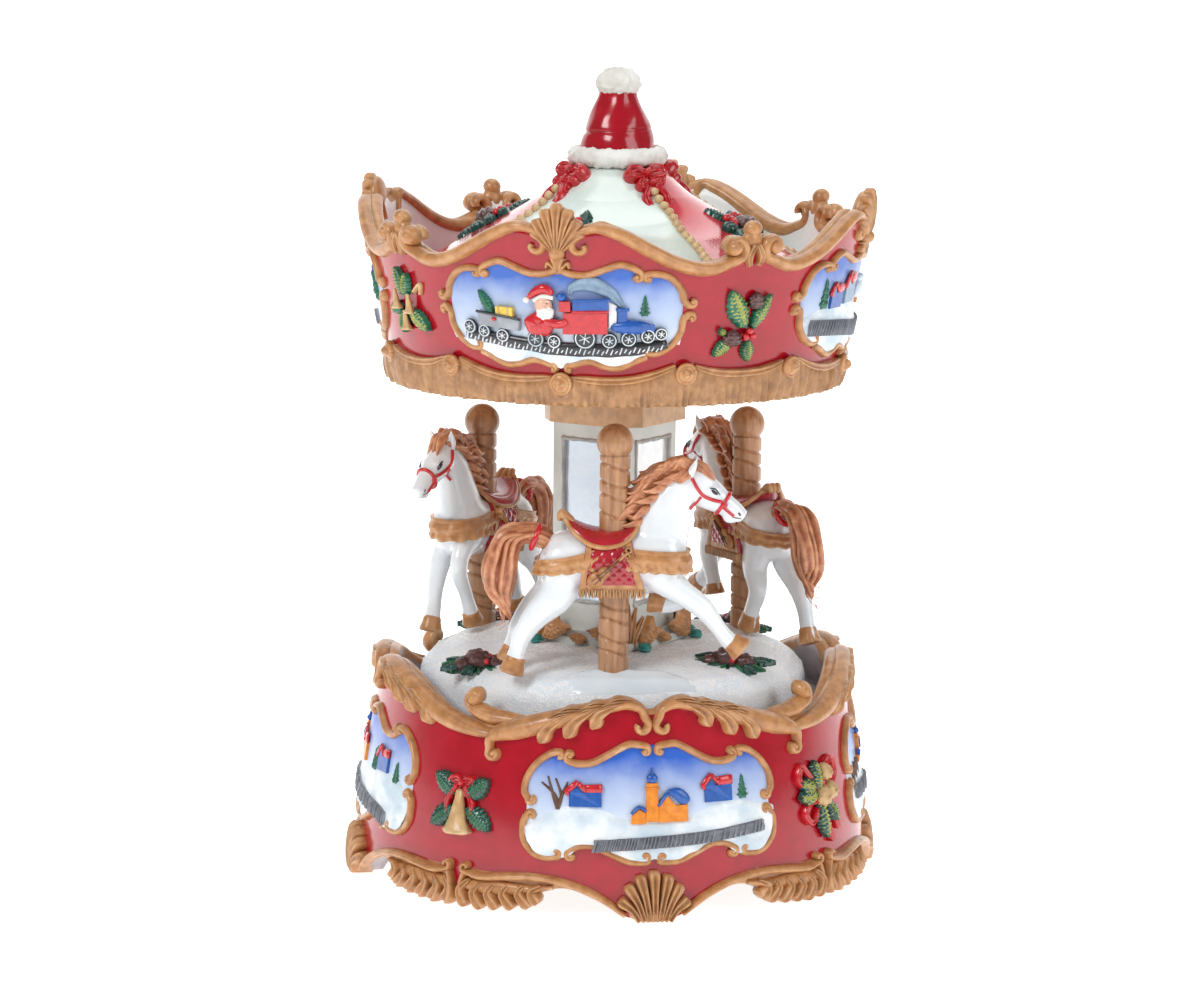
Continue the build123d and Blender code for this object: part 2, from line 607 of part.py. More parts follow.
TAIL = [(-14.2, 0, 74.6, 1.5, 1.5), (-18.5, 0, 76.6, 2.2, 2.3), (-22.6, 0, 73.6, 2.7, 3.2),
        (-23.4, 0, 67.6, 2.7, 3.4), (-21.6, 0, 62.0, 2.4, 3.0), (-21.4, 0, 57.6, 1.2, 1.4)]
REACHING_FORE = [(8.5, -2.8, 68.5, 2.4, 3.6), (13.5, -3.4, 65.2, 2.3, 2.9), (18.2, -3.7, 61.9, 2.0, 2.5),
                 (21.2, -3.8, 58.2, 1.8, 2.1), (23.2, -3.8, 55.6, 1.7, 1.9), (26.0, -3.8, 53.2, 2.1, 2.4)]
TUCKED_FORE = [(8.5, 2.8, 68.5, 2.4, 3.4), (12.6, 3.3, 66.0, 2.1, 2.5), (14.8, 3.5, 63.0, 1.9, 2.1),
               (11.4, 3.5, 61.0, 1.6, 1.7), (7.6, 3.5, 61.6, 1.9, 2.0)]
STANDING_FORE = [(9.0, -2.8, 68.0, 2.4, 3.6), (11.4, -3.4, 62.8, 2.2, 2.5), (12.8, -3.7, 57.4, 1.9, 2.0),
                 (13.4, -3.8, 52.8, 1.7, 1.8), (14.4, -3.8, 49.2, 2.2, 2.3)]
BENT_FORE = [(8.5, 2.8, 68.5, 2.4, 3.4), (13.0, 3.2, 66.6, 2.1, 2.5), (14.6, 3.3, 62.6, 1.9, 2.1),
             (12.0, 3.3, 57.6, 1.7, 1.8), (10.2, 3.3, 54.0, 1.7, 1.8), (8.8, 3.3, 51.0, 2.1, 2.2)]
HANGING_FORE = [(8.5, 2.8, 68.5, 2.4, 3.4), (10.0, 3.2, 64.2, 2.1, 2.5), (8.8, 3.3, 60.4, 1.8, 1.9),
                (7.6, 3.3, 57.8, 1.7, 1.8), (6.9, 3.3, 55.2, 2.0, 2.1)]
STRETCHED_HIND = [(-9.6, -2.6, 68.6, 2.8, 4.4), (-11.8, -3.2, 64.0, 2.7, 3.9),
                  (-15.9, -3.4, 59.8, 2.4, 3.0), (-18.6, -3.4, 55.8, 2.0, 2.4),
                  (-19.7, -3.4, 52.4, 1.8, 2.0), (-21.0, -3.4, 48.4, 2.2, 2.3)]
STRETCHED_HIND_INNER = [(forward - 0.8, -side, height + 1.2 * (69.0 - height) / 20.0, width, depth)
                        for forward, side, height, width, depth in STRETCHED_HIND]
STEPPING_HIND = [(-9.6, 2.6, 68.6, 2.8, 4.4), (-9.2, 3.2, 63.2, 2.6, 3.5), (-10.8, 3.4, 58.4, 2.1, 2.6),
                 (-8.8, 3.4, 54.2, 1.8, 2.1), (-7.4, 3.4, 50.0, 2.2, 2.3)]
HORSE_LEGS = [
    (REACHING_FORE, TUCKED_FORE, STRETCHED_HIND, STRETCHED_HIND_INNER),
    (REACHING_FORE, HANGING_FORE, STRETCHED_HIND, STEPPING_HIND),
    (STANDING_FORE, BENT_FORE, STRETCHED_HIND, STRETCHED_HIND_INNER),
]
SADDLE = [(-10.0, 0, 79.4, 1.6, 0.8), (-7.6, 0, 77.6, 3.6, 1.2), (-3.0, 0, 76.6, 5.0, 1.6),
          (2.2, 0, 77.0, 4.4, 1.4), (4.8, 0, 79.2, 1.6, 0.8)]
BLANKET = [(-6.6, 0, 70.9, 6.2, 7.0), (0.0, 0, 71.0, 6.1, 7.0), (6.4, 0, 71.3, 6.1, 7.3)]


def make_horse(legs):
    """Galloping horse along +X, bored for its pole at the origin."""
    with BuildPart() as horse:
        for sections in (TORSO, NECK, HEAD, MANE, TAIL, *legs):
            add(tube(sections))
        for side in (-1, 1):
            add(tube([(14.4, side * 1.6, 89.6, 0.6, 0.9), (14.6, side * 1.9, 91.2, 0.6, 0.8),
                      (14.9, side * 2.0, 92.6, 0.2, 0.3)]))
        # saddle with its raised ends, and the blanket below it
        add(tube(SADDLE))
        add(tube(BLANKET))
    return horse.part


for index, legs in enumerate(HORSE_LEGS):
    horse_body = make_horse(legs)
    azimuth = POLE_AZIMUTHS[index]
    x, y, _ = on_circle(POLE_CIRCLE, azimuth)
    with BuildPart() as horse:
        with Locations(Location((x, y, 0), (0, 0, azimuth))):
            add(horse_body)
        with BuildSketch(Plane(origin=(x, y, 40.0))):
            Circle(POLE_RADIUS + 0.02)
        extrude(amount=50.0, mode=Mode.SUBTRACT)
    save(horse.part, f"horse_{index + 1}")

# ---------------------------------------------------------------- roof
ROOF_BAND = wall_shell(VALANCE_OUTLINE, 2.0, proud=1.2)

with BuildPart() as roof_valance:
    add(wall_shell(VALANCE_OUTLINE, VALANCE_WALL))
    with BuildSketch(Plane.XY.offset(CORNICE_TOP)):
        Circle(46.0)
        Circle(SHAFT_RADIUS + 0.02, mode=Mode.SUBTRACT)
    extrude(amount=ROOF_FLOOR_TOP - CORNICE_TOP)
    # ledge that the tent stands on
    add(turned([(48.0, 118.0), (48.0, TENT_LEDGE), (44.6, TENT_LEDGE), (47.0, 118.0)]))
    for side in range(SIDES):
        centre = ROOF_YAW + side * 360 / SIDES
        for sign in (-1, 1):
            valley = centre + sign * CREST_VALLEY_AZIMUTH
            with BuildSketch(outward_plane(valley, 62.0, CREST_VALLEY_HEIGHT)):
                Circle(CREST_VALLEY_RADIUS)
            extrude(amount=-20.0, mode=Mode.SUBTRACT)
        with BuildSketch(outward_plane(centre + 45.0, 62.0, 146.8)):
            Rectangle(14.0, 9.6)
        extrude(amount=-20.0, mode=Mode.SUBTRACT)
    for side in range(SIDES):
        centre = ROOF_YAW + side * 360 / SIDES
        add(panel_frame(centre, 50.0, 113.6, 133.6, 2.0, ROOF_BAND))
        with BuildSketch(outward_plane(centre, 54.4, 139.5)):
            Circle(5.6)
        extrude(amount=-4.5)
        with BuildSketch(outward_plane(centre + 45.0, 53.8, 139.6)):
            with Locations((-2.6, 0), (2.6, 0)):
                Circle(2.2)
        extrude(amount=-4.5)
    # rosettes over the fringe
    for rosette in range(12):
        with BuildSketch(outward_plane(ROOF_YAW + rosette * 30.0, 49.6, 110.2)):
            Circle(2.4)
        extrude(amount=-4.0)
save(roof_valance.part, "roof_valance")

with BuildPart() as roof_nut:
    with BuildSketch(Plane.XY.offset(ROOF_FLOOR_TOP)):
        RegularPolygon(3.2, 6)
        Circle(SHAFT_RADIUS, mode=Mode.SUBTRACT)
    extrude(amount=2.4)
save(roof_nut.part, "roof_nut")

with BuildPart() as roof_tent:
    with BuildSketch(Plane.XZ):
        with BuildLine():
            Spline(TENT_EDGE, (38.0, 130.4), (25.0, 137.0), (14.0, 144.4), (TENT_TOP_RADIUS, TENT_TOP))
            Polyline((TENT_TOP_RADIUS, TENT_TOP), (0, TENT_TOP), (0, TENT_TOP - 3.0), (7.0, TENT_TOP - 3.0))
            Spline((7.0, TENT_TOP - 3.0), (12.0, 141.8), (24.0, 133.6), (38.0, 126.8),
                   (TENT_EDGE[0], TENT_LEDGE))
            Line((TENT_EDGE[0], TENT_LEDGE), TENT_EDGE)
        make_face()
    revolve(axis=Axis.Z)
    # ribs with their bead strings
    for side in range(SIDES):
        angle = radians(ROOF_YAW + 45 + side * 90)
        with Locations(*[(radius * sin(angle), -radius * cos(angle), height)
                         for radius, height in [(14.0, 145.2), (20.0, 140.6), (26.0, 136.6), (32.0, 133.4)]]):
            Sphere(1.3)
save(roof_tent.part, "roof_tent")

# fur band round the brim, hat, and pompom on the tip
FUR_RADIUS = 2.2
POMPOM_HALF_HEIGHT = TOTAL_HEIGHT - POMPOM_CENTRE
fur_band = [(HAT_RADIUS + FUR_RADIUS * cos(radians(angle)), TENT_TOP + FUR_RADIUS * (1 + sin(radians(angle))))
            for angle in range(-75, 76, 15)]
pompom = [(POMPOM_RADIUS * cos(radians(angle)), POMPOM_CENTRE + POMPOM_HALF_HEIGHT * sin(radians(angle)))
          for angle in range(-45, 76, 15)]
with BuildPart() as hat_finial:
    add(turned([(0, TENT_TOP), (HAT_RADIUS, TENT_TOP), *fur_band, (HAT_RADIUS - 0.4, TENT_TOP + 2 * FUR_RADIUS),
                (6.6, 156.6), (4.6, 160.6), (3.5, 163.2), *pompom, (0, TOTAL_HEIGHT)]))
save(hat_finial.part, "hat_finial")
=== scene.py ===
import random
from math import atan2, cos, degrees, exp, hypot, pi, radians, sin

import bmesh
import bpy
import numpy as np
from mathutils import Matrix, Vector, noise
from mathutils.bvhtree import BVHTree


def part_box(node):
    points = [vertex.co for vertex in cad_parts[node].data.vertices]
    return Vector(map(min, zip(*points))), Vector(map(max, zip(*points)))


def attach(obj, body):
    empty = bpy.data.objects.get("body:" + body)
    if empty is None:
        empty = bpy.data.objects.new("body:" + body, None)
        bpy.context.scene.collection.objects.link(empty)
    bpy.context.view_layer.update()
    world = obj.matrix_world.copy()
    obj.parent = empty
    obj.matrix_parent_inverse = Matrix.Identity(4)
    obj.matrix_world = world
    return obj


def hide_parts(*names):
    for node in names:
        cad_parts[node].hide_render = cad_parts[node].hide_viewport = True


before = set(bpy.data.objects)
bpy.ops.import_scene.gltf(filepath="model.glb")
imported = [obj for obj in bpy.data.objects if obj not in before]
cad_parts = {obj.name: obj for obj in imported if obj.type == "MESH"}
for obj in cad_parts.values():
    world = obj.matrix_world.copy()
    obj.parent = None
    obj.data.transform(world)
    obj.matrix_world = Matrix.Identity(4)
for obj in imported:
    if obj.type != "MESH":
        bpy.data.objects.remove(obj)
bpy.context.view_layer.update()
random.seed(7)

# ---------------------------------------------------------------- sizes, in millimetres
MM = 0.001
SIDES = 4
BASE_YAW = 9.3        # azimuth of the base's front scene, from -Y towards +X
ROOF_YAW = -13.2      # azimuth of the roof's front crest
COLUMN_YAW = 12.0     # azimuth of the column's front corner


def box_mm(node):
    """Lowest and highest corner of a CAD node in millimetres."""
    low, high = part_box(node)
    return low / MM, high / MM


BASE_OUTLINE = [(2.0, 53.6), (9.0, 53.4), (18.0, 52.9), (27.0, 51.7), (36.0, 50.0), (44.8, 48.8)]
ROOF_OUTLINE = [(104.4, 46.4), (110.4, 47.4), (114.0, 48.4), (124.0, 50.0), (133.0, 51.6), (140.0, 53.0),
                (146.0, 53.4)]


def curve_through(pairs):
    """Cubic function of the first value, fitted to (value, result) pairs."""
    fit = np.polyfit([a for a, _ in pairs], [b for _, b in pairs], 3)
    return lambda value: float(np.polyval(fit, value))


base_radius = curve_through(BASE_OUTLINE)
roof_radius = curve_through(ROOF_OUTLINE)


def eased(pairs):
    """Function that runs smoothly through (value, result) pairs, flat beyond the ends."""
    xs = [a for a, _ in pairs]
    ys = [b for _, b in pairs]
    slopes = np.gradient(ys, xs)

    def value_at(x):
        if x <= xs[0]:
            return ys[0]
        if x >= xs[-1]:
            return ys[-1]
        i = int(np.searchsorted(xs, x)) - 1
        span = xs[i + 1] - xs[i]
        t = (x - xs[i]) / span
        return ((2 * t**3 - 3 * t**2 + 1) * ys[i] + (t**3 - 2 * t**2 + t) * span * slopes[i]
                + (-2 * t**3 + 3 * t**2) * ys[i + 1] + (t**3 - t**2) * span * slopes[i + 1])
    return value_at


def round_z(radius, azimuth, height):
    """Point at an azimuth from the front, positive to the right."""
    angle = radians(azimuth)
    return (radius * sin(angle), -radius * cos(angle), height)


# ---------------------------------------------------------------- materials
class Paint:
    """Small helper that wires a procedural Principled material."""

    def __init__(self, name, colour, roughness=0.4, metallic=0.0, coat=0.0, specular=0.5):
        self.material = bpy.data.materials.new(name)
        self.material.use_nodes = True
        self.nodes = self.material.node_tree.nodes
        self.links = self.material.node_tree.links
        self.shader = self.nodes["Principled BSDF"]
        self.shader.inputs["Base Color"].default_value = (*colour, 1)
        self.shader.inputs["Roughness"].default_value = roughness
        self.shader.inputs["Metallic"].default_value = metallic
        self.shader.inputs["Coat Weight"].default_value = coat
        self.shader.inputs["Coat Roughness"].default_value = 0.08
        self.shader.inputs["Specular IOR Level"].default_value = specular
        self.place = self.nodes.new("ShaderNodeTexCoord").outputs["Object"]
        self.bump_from = None

    def node(self, kind, **inputs):
        made = self.nodes.new(kind)
        for key, value in inputs.items():
            made.inputs[key].default_value = value
        return made

    def noise(self, scale, detail=3.0):
        made = self.node("ShaderNodeTexNoise", Scale=scale, Detail=detail, Roughness=0.55)
        self.links.new(self.place, made.inputs["Vector"])
        return made.outputs["Fac"]

    def ramp(self, value, stops):
        made = self.nodes.new("ShaderNodeValToRGB")
        marks = made.color_ramp.elements
        while len(marks) < len(stops):
            marks.new(0.5)
        for mark, (at, colour) in zip(marks, stops):
            mark.position = at
            mark.color = (*colour, 1)
        self.links.new(value, made.inputs["Fac"])
        return made.outputs["Color"]

    def mix(self, factor, first, second):
        made = self.nodes.new("ShaderNodeMix")
        made.data_type = "RGBA"
        for socket, value in ((made.inputs[0], factor), (made.inputs[6], first), (made.inputs[7], second)):
            if isinstance(value, tuple):
                socket.default_value = (*value, 1)
            elif isinstance(value, float):
                socket.default_value = value
            else:
                self.links.new(value, socket)
        return made.outputs[2]

    def colour(self, output):
        self.links.new(output, self.shader.inputs["Base Color"])

    def roughness(self, value, low, high):
        made = self.node("ShaderNodeMapRange")
        made.inputs["To Min"].default_value = low
        made.inputs["To Max"].default_value = high
        self.links.new(value, made.inputs["Value"])
        self.links.new(made.outputs["Result"], self.shader.inputs["Roughness"])

    def bump(self, value, strength, distance):
        made = self.node("ShaderNodeBump", Strength=strength, Distance=distance)
        self.links.new(value, made.inputs["Height"])
        if self.bump_from is not None:
            self.links.new(self.bump_from, made.inputs["Normal"])
        self.bump_from = made.outputs["Normal"]
        self.links.new(self.bump_from, self.shader.inputs["Normal"])

    def edges(self):
        """How far a point stands out: under a half in creases, over it on edges."""
        return self.nodes.new("ShaderNodeNewGeometry").outputs["Pointiness"]


def enamel(name, dark, light, roughness=0.22, coat=0.6, scale=900.0):
    """Glossy paint, a little uneven, with painted shade in the creases and painted highlight on the edges."""
    paint = Paint(name, light, roughness, coat=coat)
    patches = paint.ramp(paint.noise(scale, 4.0), [(0.35, dark), (0.62, light)])
    # painted shade: darker in the creases; painted highlight: lighter on the edges
    painted_shading_and_wear = paint.ramp(paint.edges(), [(0.44, dark), (0.50, light)])
    paint.colour(paint.mix(0.55, patches, painted_shading_and_wear))
    paint.roughness(paint.noise(scale * 0.5), roughness * 0.8, roughness * 1.5)
    paint.bump(paint.noise(scale * 0.35, 2.0), 0.12, 0.0004)
    return paint.material


def antiqued(name, dark, base, light, roughness=0.34, metallic=0.0):
    """Tan-gold paint with brown wash in the hollows and lighter edges."""
    paint = Paint(name, base, roughness, metallic, coat=0.0 if metallic else 0.25)
    washed = paint.ramp(paint.edges(), [(0.40, dark), (0.475, base), (0.54, base), (0.62, light)])
    cloud = paint.ramp(paint.noise(420.0, 5.0), [(0.36, dark), (0.52, base), (0.70, light)])
    paint.colour(paint.mix(0.34, washed, cloud))
    paint.roughness(paint.noise(700.0), roughness * 0.7, roughness * 1.5)
    paint.bump(paint.noise(1500.0, 4.0), 0.25, 0.0002)
    return paint.material


def strands(name, dark, base, light, stretch):
    """Painted hair or grain: streaks that run along the stretched axis."""
    paint = Paint(name, base, 0.36, coat=0.2)
    mapping = paint.node("ShaderNodeMapping", Scale=stretch)
    paint.links.new(paint.place, mapping.inputs["Vector"])
    streak = paint.node("ShaderNodeTexNoise", Scale=900.0, Detail=3.0, Roughness=0.6)
    paint.links.new(mapping.outputs["Vector"], streak.inputs["Vector"])
    streaks = paint.ramp(streak.outputs["Fac"], [(0.34, dark), (0.50, base), (0.68, light)])
    # painted shade: darker in the creases; painted highlight: lighter on the edges
    painted_shading_and_wear = paint.ramp(paint.edges(), [(0.42, dark), (0.49, base), (0.58, light)])
    paint.colour(paint.mix(0.5, streaks, painted_shading_and_wear))
    paint.bump(streak.outputs["Fac"], 0.35, 0.0003)
    return paint.material


def snow(name, base, shade, glitter=0.0, roughness=0.62):
    """Packed snow: soft lumps, blue-grey hollows and, if wanted, glitter."""
    paint = Paint(name, base, roughness)
    tint = paint.ramp(paint.noise(120.0, 4.0), [(0.38, shade), (0.60, base)])
    paint.colour(tint)
    paint.bump(paint.noise(2200.0, 4.0), 0.35, 0.00025)
    if glitter:
        flakes = paint.node("ShaderNodeTexVoronoi", Scale=3200.0)
        paint.links.new(paint.place, flakes.inputs["Vector"])
        picked = paint.ramp(flakes.outputs["Color"], [(0.60, (0, 0, 0)), (0.64, (1, 1, 1))])
        paint.colour(paint.mix(picked, tint, (1.0, 1.0, 1.0)))
        paint.roughness(picked, roughness, 0.12)
        paint.bump(flakes.outputs["Distance"], 0.6 * glitter, 0.00022)
    return paint.material


def sky(name, low, high, pale, deep):
    """Painted sky that deepens from pale at the skyline to blue at the top."""
    paint = Paint(name, pale, 0.4, coat=0.2)
    split = paint.node("ShaderNodeSeparateXYZ")
    paint.links.new(paint.place, split.inputs["Vector"])
    rise = paint.node("ShaderNodeMapRange")
    rise.inputs["From Min"].default_value = low * MM
    rise.inputs["From Max"].default_value = high * MM
    paint.links.new(split.outputs["Z"], rise.inputs["Value"])
    wobble = paint.node("ShaderNodeMath")
    wobble.operation = "MULTIPLY_ADD"
    wobble.inputs[1].default_value = 0.25
    paint.links.new(paint.noise(160.0), wobble.inputs[0])
    paint.links.new(rise.outputs["Result"], wobble.inputs[2])
    paint.colour(paint.ramp(wobble.outputs["Value"],
                            [(0.42, pale), (0.78, tuple(0.5 * (a + b) for a, b in zip(pale, deep))),
                             (1.0, deep)]))
    paint.bump(paint.noise(1200.0), 0.15, 0.0002)
    return paint.material


RED = (0.40, 0.0015, 0.014)
GOLD = (0.49, 0.225, 0.08)
MAT = {
    "red": enamel("red_enamel", (0.27, 0.001, 0.006), RED, 0.15, 0.22, 260.0),
    "bright_red": enamel("bright_red_enamel", (0.28, 0.003, 0.008), (0.60, 0.012, 0.02), 0.22, 0.6),
    "gold": antiqued("tan_gold", (0.15, 0.05, 0.014), GOLD, (0.70, 0.45, 0.24)),
    "pale_gold": antiqued("pale_gold", (0.30, 0.15, 0.06), (0.60, 0.38, 0.17), (0.80, 0.60, 0.36)),
    "pole": strands("pole_brown", (0.15, 0.055, 0.022), (0.40, 0.19, 0.085), (0.55, 0.31, 0.16),
                    (1.0, 1.0, 0.12)),
    "mane": strands("copper_mane", (0.13, 0.028, 0.012), (0.40, 0.12, 0.05), (0.74, 0.38, 0.20),
                    (0.5, 0.5, 0.5)),
    "white": enamel("white_enamel", (0.60, 0.67, 0.73), (0.82, 0.86, 0.89), 0.2, 0.7, 130.0),
    "inner_white": enamel("inner_white", (0.74, 0.76, 0.74), (0.86, 0.87, 0.86), 0.35, 0.2, 130.0),
    "mint": enamel("mint_white", (0.60, 0.72, 0.66), (0.76, 0.86, 0.81), 0.22, 0.6, 120.0),
    "column": enamel("column_grey_white", (0.52, 0.54, 0.52), (0.68, 0.71, 0.68), 0.32, 0.3, 180.0),
    "grey_wall": enamel("mauve_grey", (0.28, 0.24, 0.26), (0.44, 0.38, 0.40), 0.4, 0.2, 200.0),
    "snow": snow("glitter_snow", (0.88, 0.93, 0.97), (0.76, 0.85, 0.93), glitter=1.0),
    "ice": enamel("ice_patch", (0.66, 0.76, 0.84), (0.78, 0.85, 0.90), 0.12, 0.9, 160.0),
    "scene_snow": snow("scene_snow", (0.86, 0.89, 0.92), (0.55, 0.66, 0.74), roughness=0.45),
    "fur": snow("fur_white", (0.86, 0.86, 0.82), (0.66, 0.64, 0.58), roughness=0.8),
    "green": enamel("holly_green", (0.0, 0.045, 0.03), (0.012, 0.17, 0.09), 0.26, 0.5),
    "crimson": enamel("crimson_quilt", (0.26, 0.004, 0.012), (0.42, 0.008, 0.02), 0.2, 0.8, 300.0),
    "dark_green": enamel("dark_holly_green", (0.0, 0.014, 0.016), (0.004, 0.075, 0.055), 0.2, 0.6),
    "leaf_mid": enamel("sprig_green", (0.005, 0.05, 0.03), (0.02, 0.16, 0.06), 0.28, 0.5),
    "tent_red": enamel("tent_red_enamel", (0.50, 0.01, 0.02), (0.66, 0.03, 0.05), 0.18, 0.8, 200.0),
    "leaf_vein": enamel("leaf_vein_yellow", (0.10, 0.20, 0.02), (0.42, 0.42, 0.06), 0.3, 0.4),
    "teal": enamel("teal_tuft", (0.01, 0.12, 0.12), (0.05, 0.33, 0.30), 0.4, 0.3),
    "cone": enamel("pine_cone_brown", (0.02, 0.008, 0.01), (0.11, 0.04, 0.036), 0.34, 0.4),
    "orange": enamel("church_orange", (0.45, 0.11, 0.01), (0.83, 0.27, 0.02), 0.35, 0.3),
    "blue": enamel("paint_blue", (0.005, 0.035, 0.20), (0.01, 0.10, 0.42), 0.3, 0.4),
    "bark": enamel("bark_brown", (0.05, 0.02, 0.012), (0.13, 0.06, 0.035), 0.45, 0.2),
    "rail_grey": antiqued("rail_grey", (0.03, 0.035, 0.045), (0.13, 0.14, 0.17), (0.38, 0.40, 0.44)),
    "black": enamel("paint_black", (0.004, 0.004, 0.006), (0.02, 0.02, 0.025), 0.3, 0.5),
    "smoke": enamel("smoke_blue", (0.10, 0.17, 0.26), (0.25, 0.36, 0.48), 0.4, 0.2),
    "skin": enamel("painted_skin", (0.60, 0.30, 0.20), (0.75, 0.44, 0.32), 0.4, 0.2),
    "yellow": enamel("paint_yellow", (0.50, 0.30, 0.01), (0.80, 0.58, 0.06), 0.3, 0.4),
    "fringe": antiqued("fringe_tan", (0.08, 0.03, 0.01), (0.40, 0.19, 0.07), (0.68, 0.42, 0.20)),
    "bead": antiqued("bead_gold", (0.32, 0.17, 0.07), (0.62, 0.41, 0.20), (0.85, 0.66, 0.42)),
    "floor": enamel("studio_floor", (0.86, 0.86, 0.86), (0.90, 0.90, 0.90), 0.6, 0.0, 8.0),
    "brass": antiqued("clock_brass", (0.36, 0.22, 0.06), (0.66, 0.45, 0.15), (0.82, 0.62, 0.28), 0.26,
                      metallic=1.0),
    "steel": antiqued("turned_steel", (0.22, 0.22, 0.23), (0.50, 0.50, 0.51), (0.70, 0.70, 0.70), 0.28,
                      metallic=1.0),
    "comb_steel": antiqued("ground_comb_steel", (0.30, 0.30, 0.31), (0.62, 0.62, 0.63),
                           (0.78, 0.78, 0.78), 0.22, metallic=1.0),
    "blued": antiqued("blued_spring_steel", (0.02, 0.03, 0.08), (0.07, 0.10, 0.22), (0.22, 0.26, 0.38),
                      0.25, metallic=1.0),
    "zinc": antiqued("cast_zinc", (0.25, 0.25, 0.25), (0.46, 0.46, 0.45), (0.62, 0.62, 0.61), 0.45,
                     metallic=0.9),
    "plastic": enamel("moulded_black", (0.008, 0.008, 0.009), (0.022, 0.022, 0.024), 0.42, 0.1, 700.0),
    "board": strands("pressed_board", (0.05, 0.032, 0.022), (0.13, 0.085, 0.055), (0.22, 0.15, 0.10),
                     (0.4, 1.0, 1.0)),
    # mirror colour with a painted blue reflection, used on the mirror left of the middle
    "mirror_painted_blue_reflection": antiqued("mirror_with_painted_blue_reflection", (0.58, 0.74, 0.94), (0.68, 0.82, 0.98), (0.80, 0.90, 0.99),
                            0.10, metallic=0.2),
    "mirror_pale": antiqued("pale_mirror", (0.60, 0.66, 0.70), (0.84, 0.88, 0.90), (0.92, 0.94, 0.95),
                            0.10, metallic=0.35),
    "silver": antiqued("silver_edge", (0.10, 0.10, 0.10), (0.42, 0.42, 0.41), (0.70, 0.70, 0.68)),
}


# ---------------------------------------------------------------- mesh building
def show(thing):
    """Puts an object into the scene."""
    bpy.context.scene.collection.objects.link(thing)


class Piece:
    """Faces gathered by paint; done() turns them into one object."""

    def __init__(self, name):
        self.name = name
        self.points = []
        self.faces = []
        self.paints = []
        self.rounded = []

    def face(self, corners, paint, rounded=True):
        self.faces.append(corners)
        self.paints.append(paint)
        self.rounded.append(rounded)

    def grid(self, rows, paint, closed=False, ends=False, rounded=True):
        """Skin over rows of points; paint is a name, or a function of the face's centre."""
        start = len(self.points)
        width = len(rows[0])
        for row in rows:
            self.points.extend(row)
        turns = width if closed else width - 1
        for i in range(len(rows) - 1):
            for j in range(turns):
                k = (j + 1) % width
                corners = [start + i * width + j, start + i * width + k,
                           start + (i + 1) * width + k, start + (i + 1) * width + j]
                name = paint
                if callable(paint):
                    near, far = rows[i][j], rows[i + 1][k]
                    name = paint(tuple(0.5 * (a + b) for a, b in zip(near, far)))
                self.face(corners, name, rounded)
        if ends:
            name = paint(rows[0][0]) if callable(paint) else paint
            self.face([start + j for j in range(width)][::-1], name, rounded)
            name = paint(rows[-1][0]) if callable(paint) else paint
            self.face([start + (len(rows) - 1) * width + j for j in range(width)], name, rounded)

    def mesh(self):
        made = bpy.data.meshes.new(self.name)
        made.from_pydata([(x * MM, y * MM, z * MM) for x, y, z in self.points], [], self.faces)
        names = sorted(set(self.paints))
        for name in names:
            made.materials.append(MAT[name])
        made.polygons.foreach_set("material_index", [names.index(name) for name in self.paints])
        made.polygons.foreach_set("use_smooth", self.rounded)
        shape = bmesh.new()
        shape.from_mesh(made)
        bmesh.ops.remove_doubles(shape, verts=shape.verts, dist=0.00001)
        bmesh.ops.recalc_face_normals(shape, faces=shape.faces)
        shape.to_mesh(made)
        shape.free()
        return made

    def done(self, body, node=None):
        """The finished object, riding on its body and standing for its CAD node."""
        made = bpy.data.objects.new(self.name, self.mesh())
        show(made)
        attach(made, body)
        if node:
            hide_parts(node)
        return made


def smoothed(points, steps=6):
    """Catmull-Rom curve through points of any number of values."""
    points = [np.array(p, float) for p in points]
    made = []
    for i in range(len(points) - 1):
        a = points[max(i - 1, 0)]
        b, c = points[i], points[i + 1]
        d = points[min(i + 2, len(points) - 1)]
        for step in range(steps):
            t = step / steps
            made.append(0.5 * (2 * b + (c - a) * t + (2 * a - 5 * b + 4 * c - d) * t**2
                               + (3 * b - a - 3 * c + d) * t**3))
    made.append(points[-1])
    return made


CURL_INNER = 0.32     # a curl's last radius as a share of its first


def curl(centre, radius, start, sweep, half, proud):
    """Spiral points inwards round a centre, as (u, v, half width, proud)."""
    steps = max(4, int(abs(sweep) / 40))
    made = []
    for i in range(steps + 1):
        t = i / steps
        reach = radius * (1 - (1 - CURL_INNER) * t)
        angle = radians(start + sweep * t)
        made.append((centre[0] + reach * cos(angle), centre[1] + reach * sin(angle),
                     half * (1 - 0.35 * t), proud * (1 - 0.1 * t)))
    return made


ROUND = [(cos(radians(a)), sin(radians(a))) for a in range(0, 181, 20)] + [(-0.9, -0.5), (0.9, -0.5)]
GROOVED = [(1.0, 0.0), (0.94, 0.45), (0.74, 0.84), (0.50, 0.98), (0.24, 0.80), (0.0, 0.66), (-0.24, 0.80),
           (-0.50, 0.98), (-0.74, 0.84), (-0.94, 0.45), (-1.0, 0.0), (-0.9, -0.5), (0.9, -0.5)]


def stroke(piece, path, paint, at, section=ROUND, base=0.0, steps=6):
    """Relief line along (u, v, half width, proud) points, placed by at(u, v, w)."""
    line = smoothed(path, steps)
    rows = []
    for i, (u, v, half, proud) in enumerate(line):
        before, after = line[max(i - 1, 0)], line[min(i + 1, len(line) - 1)]
        du, dv = after[0] - before[0], after[1] - before[1]
        size = hypot(du, dv) or 1.0
        rows.append([at(u - dv / size * s * half, v + du / size * s * half, base + h * proud)
                     for s, h in section])
    piece.grid(rows, paint, closed=True, ends=True)


